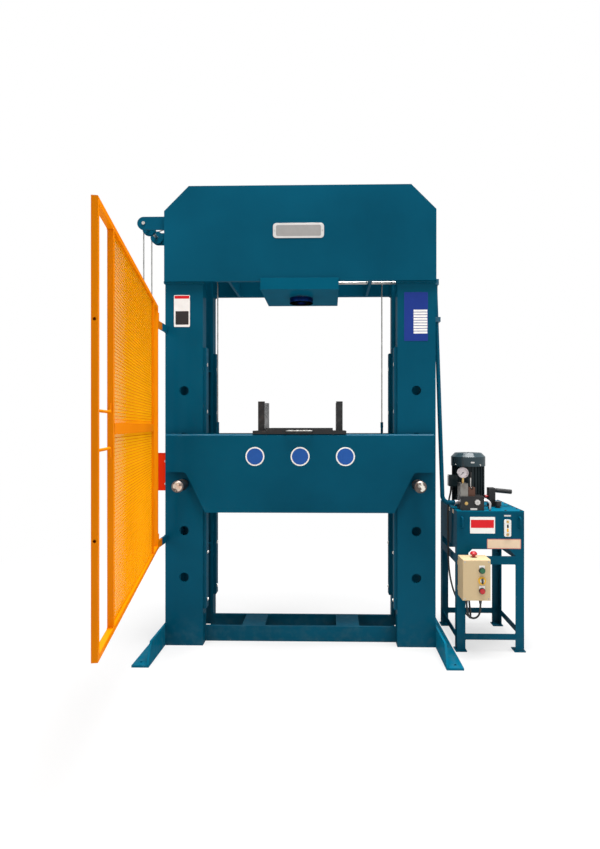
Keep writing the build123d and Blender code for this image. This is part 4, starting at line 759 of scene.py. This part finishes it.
# Hand valve, filler and level gauge
# A black hand lever on a forked block with a red release knob, a black breather and a white level gauge with two brass
# screws.
def turned(name, places, profile, axis, finish, body, ring=False, sides=24):
    """Turned pieces from (distance along the axis, radius) pairs, closed at both ends or hollow as a ring."""
    shape = bmesh.new()
    way = Vector(axis).normalized()
    first = way.orthogonal().normalized()
    second = way.cross(first)
    for place in places:
        loops = []
        for along, radius in profile:
            turns = [2 * math.pi * step / sides for step in range(sides)]
            spots = [Vector(place) + way * along + (first * math.cos(t) + second * math.sin(t)) * radius for t in turns]
            loops.append([shape.verts.new(spot / 1000) for spot in spots])
        pairs = list(zip(loops, loops[1:])) + ([(loops[-1], loops[0])] if ring else [])
        for low, high in pairs:
            for i in range(sides):
                shape.faces.new((low[i - 1], low[i], high[i], high[i - 1])).smooth = True
        if not ring:
            shape.faces.new(loops[0])
            shape.faces.new(loops[-1])
    bmesh.ops.recalc_face_normals(shape, faces=shape.faces)
    mesh = bpy.data.meshes.new(name)
    shape.to_mesh(mesh)
    shape.free()
    mesh.set_sharp_from_angle(angle=math.radians(35))
    mesh.materials.append(finish)
    return show(name, mesh, body)


dress(black_steel, "hand_valve", "hand_lever")
dress(black_plastic, "filler_cap")
white_plastic = plastic("white_plastic", (0.74, 0.73, 0.70), 0.3)
dress(white_plastic, "level_gauge")
level_x, level_y, valve_y = 1231, -254, -60
bolts("level_gauge_screws", [(level_x, level_y, z) for z in (695, 770)], 6.5, 4, (0, -1, 0), brass, "frame",
      "bright_steel")
yellow_film = film("yellow_film", (0.72, 0.36, 0.01))
field("level_window", (1221, 1241), (707, 758), level_y, 0.6, 4, white_film, "frame")
field("level_oil", (1225, 1237), (710, 730), level_y - 0.5, 0.5, 3, yellow_film, "frame")
field("level_mark", (1226, 1236), (734, 754), level_y - 0.5, 0.5, 3, dark_film, "frame")
red_plastic = plastic("red_plastic", (0.46, 0.010, 0.014), 0.3)
knob_profile = [(0, 6), (4, 6), (4.5, 9), (6, 11), (15, 11), (18.5, 9.5), (20, 6), (20.2, 1)]
turned("release_knob", [(1170, valve_y, 895)], knob_profile, (-1, 0, 0), red_plastic, "frame")
bolts("hand_valve_bolts", [(x, valve_y, lid_top) for x in (1162, 1218)], 5, 5, (0, 0, 1), black_steel, "frame",
      "black_steel")


# Control box
# Folded beige steel box with a fitted cover, two push buttons, a key switch and a red mushroom button on top. Four
# screws hold the cover, and the push buttons sit in black collars.
box_enamel = enamel("box_enamel", (0.49, 0.375, 0.218), (0.54, 0.418, 0.250), 0.42, 0.0)
dress(box_enamel, "control_box", "control_cover")
green_plastic = plastic("green_plastic", (0.008, 0.11, 0.045), 0.3)
dress(green_plastic, "green_button")
dress(red_plastic, "red_button", "estop_button")
yellow_plastic = plastic("yellow_plastic", (0.74, 0.40, 0.006), 0.35)


def round_patch(x, z, radius):
    """Share that is 1 inside a radius round an axis that runs in Y."""
    def share(tree):
        flat = place_of(tree, (1, 0, 1), (-x, 0, -z))
        reach = node(tree, "ShaderNodeVectorMath", operation="LENGTH", at0=flat).outputs["Value"]
        return between(tree, reach, 1, 0, radius - 0.0002, radius + 0.0002)
    return share


key_x, key_z, lock_radius, key_edge_y = 1.046, 0.456, 0.0125, -0.3818
patched(yellow_plastic, round_patch(key_x, key_z, lock_radius), (0.72, 0.70, 0.66))
patched(yellow_plastic, past("Y", key_edge_y, -1), (0.020, 0.019, 0.018))
dress(yellow_plastic, "key_switch")
cover_y, button_x, start_z, stop_z = -375, 1046, 514, 398
collar_profile = [(0, 14.8), (0, 18), (7, 18), (9, 16.6), (9, 14.8)]
turned("button_collars", [(button_x, cover_y, z) for z in (start_z, stop_z)], collar_profile, (0, -1, 0), black_plastic,
       "frame", ring=True)
for name, z in (("start", start_z), ("stop", stop_z)):
    field(f"{name}_tag", (button_x - 16, button_x + 16), (z - 12, z + 28), cover_y, 0.6, 2, white_film, "frame")
bolts("cover_screws", [(x, cover_y, z) for x in (950, 1084) for z in (353, 562)], 3.5, 1.8, (0, -1, 0), bright_steel,
      "frame", "bright_steel", sides=12)


# Leads
# Two round rubber leads hang in loops from glands under the box. One goes up to the tank's floor, the other to the
# motor's terminal box.
lead_rubber = plastic("lead_rubber", (0.016, 0.015, 0.014), 0.6, 500.0)
lead_radius, gland_y, gland_z, gland_top = 5.5, -310, 318, 341
gland_profile = [(0, 13), (5, 13), (5.5, 10.5), (8, 10.5), (8.5, 12), (17, 12), (21, 9.5), (23, 8.5)]
gland_profile += [(36, 7.2), (36, 6)]
tank_lead_route = [(0, 0, 0), (4, 2, -50), (20, 12, -99), (40, 54, -113), (46, 106, -62), (44, 128, 10), (42, 136, 95)]
tank_lead_route += [(42, 140, 190), (42, 140, 288)]
motor_lead_route = [(0, 0, 0), (2, 2, -52), (-10, 12, -96), (-38, 42, -116), (-62, 90, -104), (-88, 140, -62)]
motor_lead_route += [(-112, 190, 0), (-126, 226, 80), (-132, 246, 170), (-131, 250, 288), (-136.5, 244.5, 442.7)]
motor_lead_route += [(-131, 244.5, 548), (-114, 250, 609), (-114, 250, 642)]


def lead(name, gland_x, route):
    """Round rubber lead that hangs from a gland on one smooth line and goes back into the press."""
    curve = bpy.data.curves.new(name, "CURVE")
    curve.dimensions, curve.use_fill_caps = "3D", True
    curve.bevel_depth, curve.bevel_resolution = lead_radius / 1000, 4
    line = curve.splines.new("NURBS")
    line.points.add(len(route) - 1)
    for spot, (x, y, z) in zip(line.points, route):
        spot.co = ((gland_x + x) / 1000, (gland_y + y) / 1000, (gland_z + z) / 1000, 1)
    line.order_u, line.use_endpoint_u, line.resolution_u = 3, True, 8
    curve.materials.append(lead_rubber)
    piece = show(name, curve, "frame")
    gland = turned(name + "_gland", [(gland_x, gland_y, gland_top)], gland_profile, (0, 0, -1), black_plastic, "frame",
                   sides=12)
    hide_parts("control_leads")
    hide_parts("control_leads")


lead("tank_lead", 974, tank_lead_route)
lead("motor_lead", 1055, motor_lead_route)


# Stage, light and camera
# A white floor in a white surround, a large soft lamp overhead and two weak ones in front, at the right and the left.
# The camera stands where the photograph was taken from.
def seen_ray(tree):
    """Share that is 1 for what the camera, reflections and glass see of the stage."""
    path = node(tree, "ShaderNodeLightPath")
    pair = node(tree, "ShaderNodeMath", operation="MAXIMUM", at0=path.outputs["Is Camera Ray"],
                at1=path.outputs["Is Glossy Ray"])
    both = node(tree, "ShaderNodeMath", operation="MAXIMUM", at0=pair.outputs[0],
                at1=path.outputs["Is Transmission Ray"])
    return both.outputs[0]


def stage_finish():
    """White stage that keeps a soft shadow near the press and is plain white further off."""
    finish, tree, shader = new_finish("stage_white", Roughness=0.9)
    shader.inputs["Base Color"].default_value = (0.60, 0.60, 0.60, 1)
    glow = node(tree, "ShaderNodeEmission", Strength=1.0)
    reach = node(tree, "ShaderNodeVectorMath", operation="LENGTH", at0=place_of(tree, (0.8, 1, 1))).outputs["Value"]
    white = between(tree, reach, 0.64, 1.0, 1.5, 3.0)
    share = node(tree, "ShaderNodeMath", operation="MULTIPLY", at0=seen_ray(tree), at1=white)
    both = node(tree, "ShaderNodeMixShader", Fac=share.outputs[0], at1=shader.outputs["BSDF"],
                at2=glow.outputs["Emission"])
    end = next(n for n in tree.nodes if n.type == "OUTPUT_MATERIAL")
    tree.links.new(both.outputs["Shader"], end.inputs["Surface"])
    return finish


floor_half = 14
floor_corners = [(floor_half * x, floor_half * y, 0) for x, y in ((-1, -1), (1, -1), (1, 1), (-1, 1))]
floor_mesh = bpy.data.meshes.new("floor")
floor_mesh.from_pydata(floor_corners, [], [(0, 1, 2, 3)])
floor_mesh.materials.append(stage_finish())
floor = bpy.data.objects.new("floor", floor_mesh)
bpy.context.scene.collection.objects.link(floor)

world = bpy.data.worlds.new("studio")
world.use_nodes = True
bpy.context.scene.world = world
sky = world.node_tree
sky.nodes.clear()
sky_strength = between(sky, seen_ray(sky), 0.26, 1.0, 0, 1)
sky_light = node(sky, "ShaderNodeBackground", Strength=sky_strength)
sky_light.inputs["Color"].default_value = (1, 1, 1, 1)
sky_end = sky.nodes.new("ShaderNodeOutputWorld")
sky.links.new(sky_light.outputs["Background"], sky_end.inputs["Surface"])


def soft_lamp(name, place, target, size, power):
    """Square soft lamp that looks at a point."""
    lamp = bpy.data.lights.new(name, "AREA")
    lamp.size, lamp.energy = size, power
    holder = bpy.data.objects.new(name, lamp)
    holder.location = place
    holder.rotation_euler = (Vector(target) - Vector(place)).to_track_quat("-Z", "Y").to_euler()
    bpy.context.scene.collection.objects.link(holder)


soft_lamp("top_lamp", (0.6, -0.6, 8.0), (0, 0, 0), 5.0, 1500)
soft_lamp("key_lamp", (4.2, -3.6, 4.0), (0, 0, 1.2), 3.0, 80)
soft_lamp("fill_lamp", (-4.5, -3.5, 3.0), (0, 0, 1.0), 3.0, 80)

eye = bpy.data.cameras.new("camera")
eye.lens, eye.sensor_width = 23.11, 36.0
eye.shift_x, eye.shift_y = -0.0207, 0.0018
camera = bpy.data.objects.new("camera", eye)
camera.location = (0.177, -3.49, 1.335)
camera.rotation_euler = (math.radians(90), 0, math.radians(1.2))
bpy.context.scene.collection.objects.link(camera)
bpy.context.scene.camera = camera
bpy.context.scene.view_settings.view_transform = "Standard"
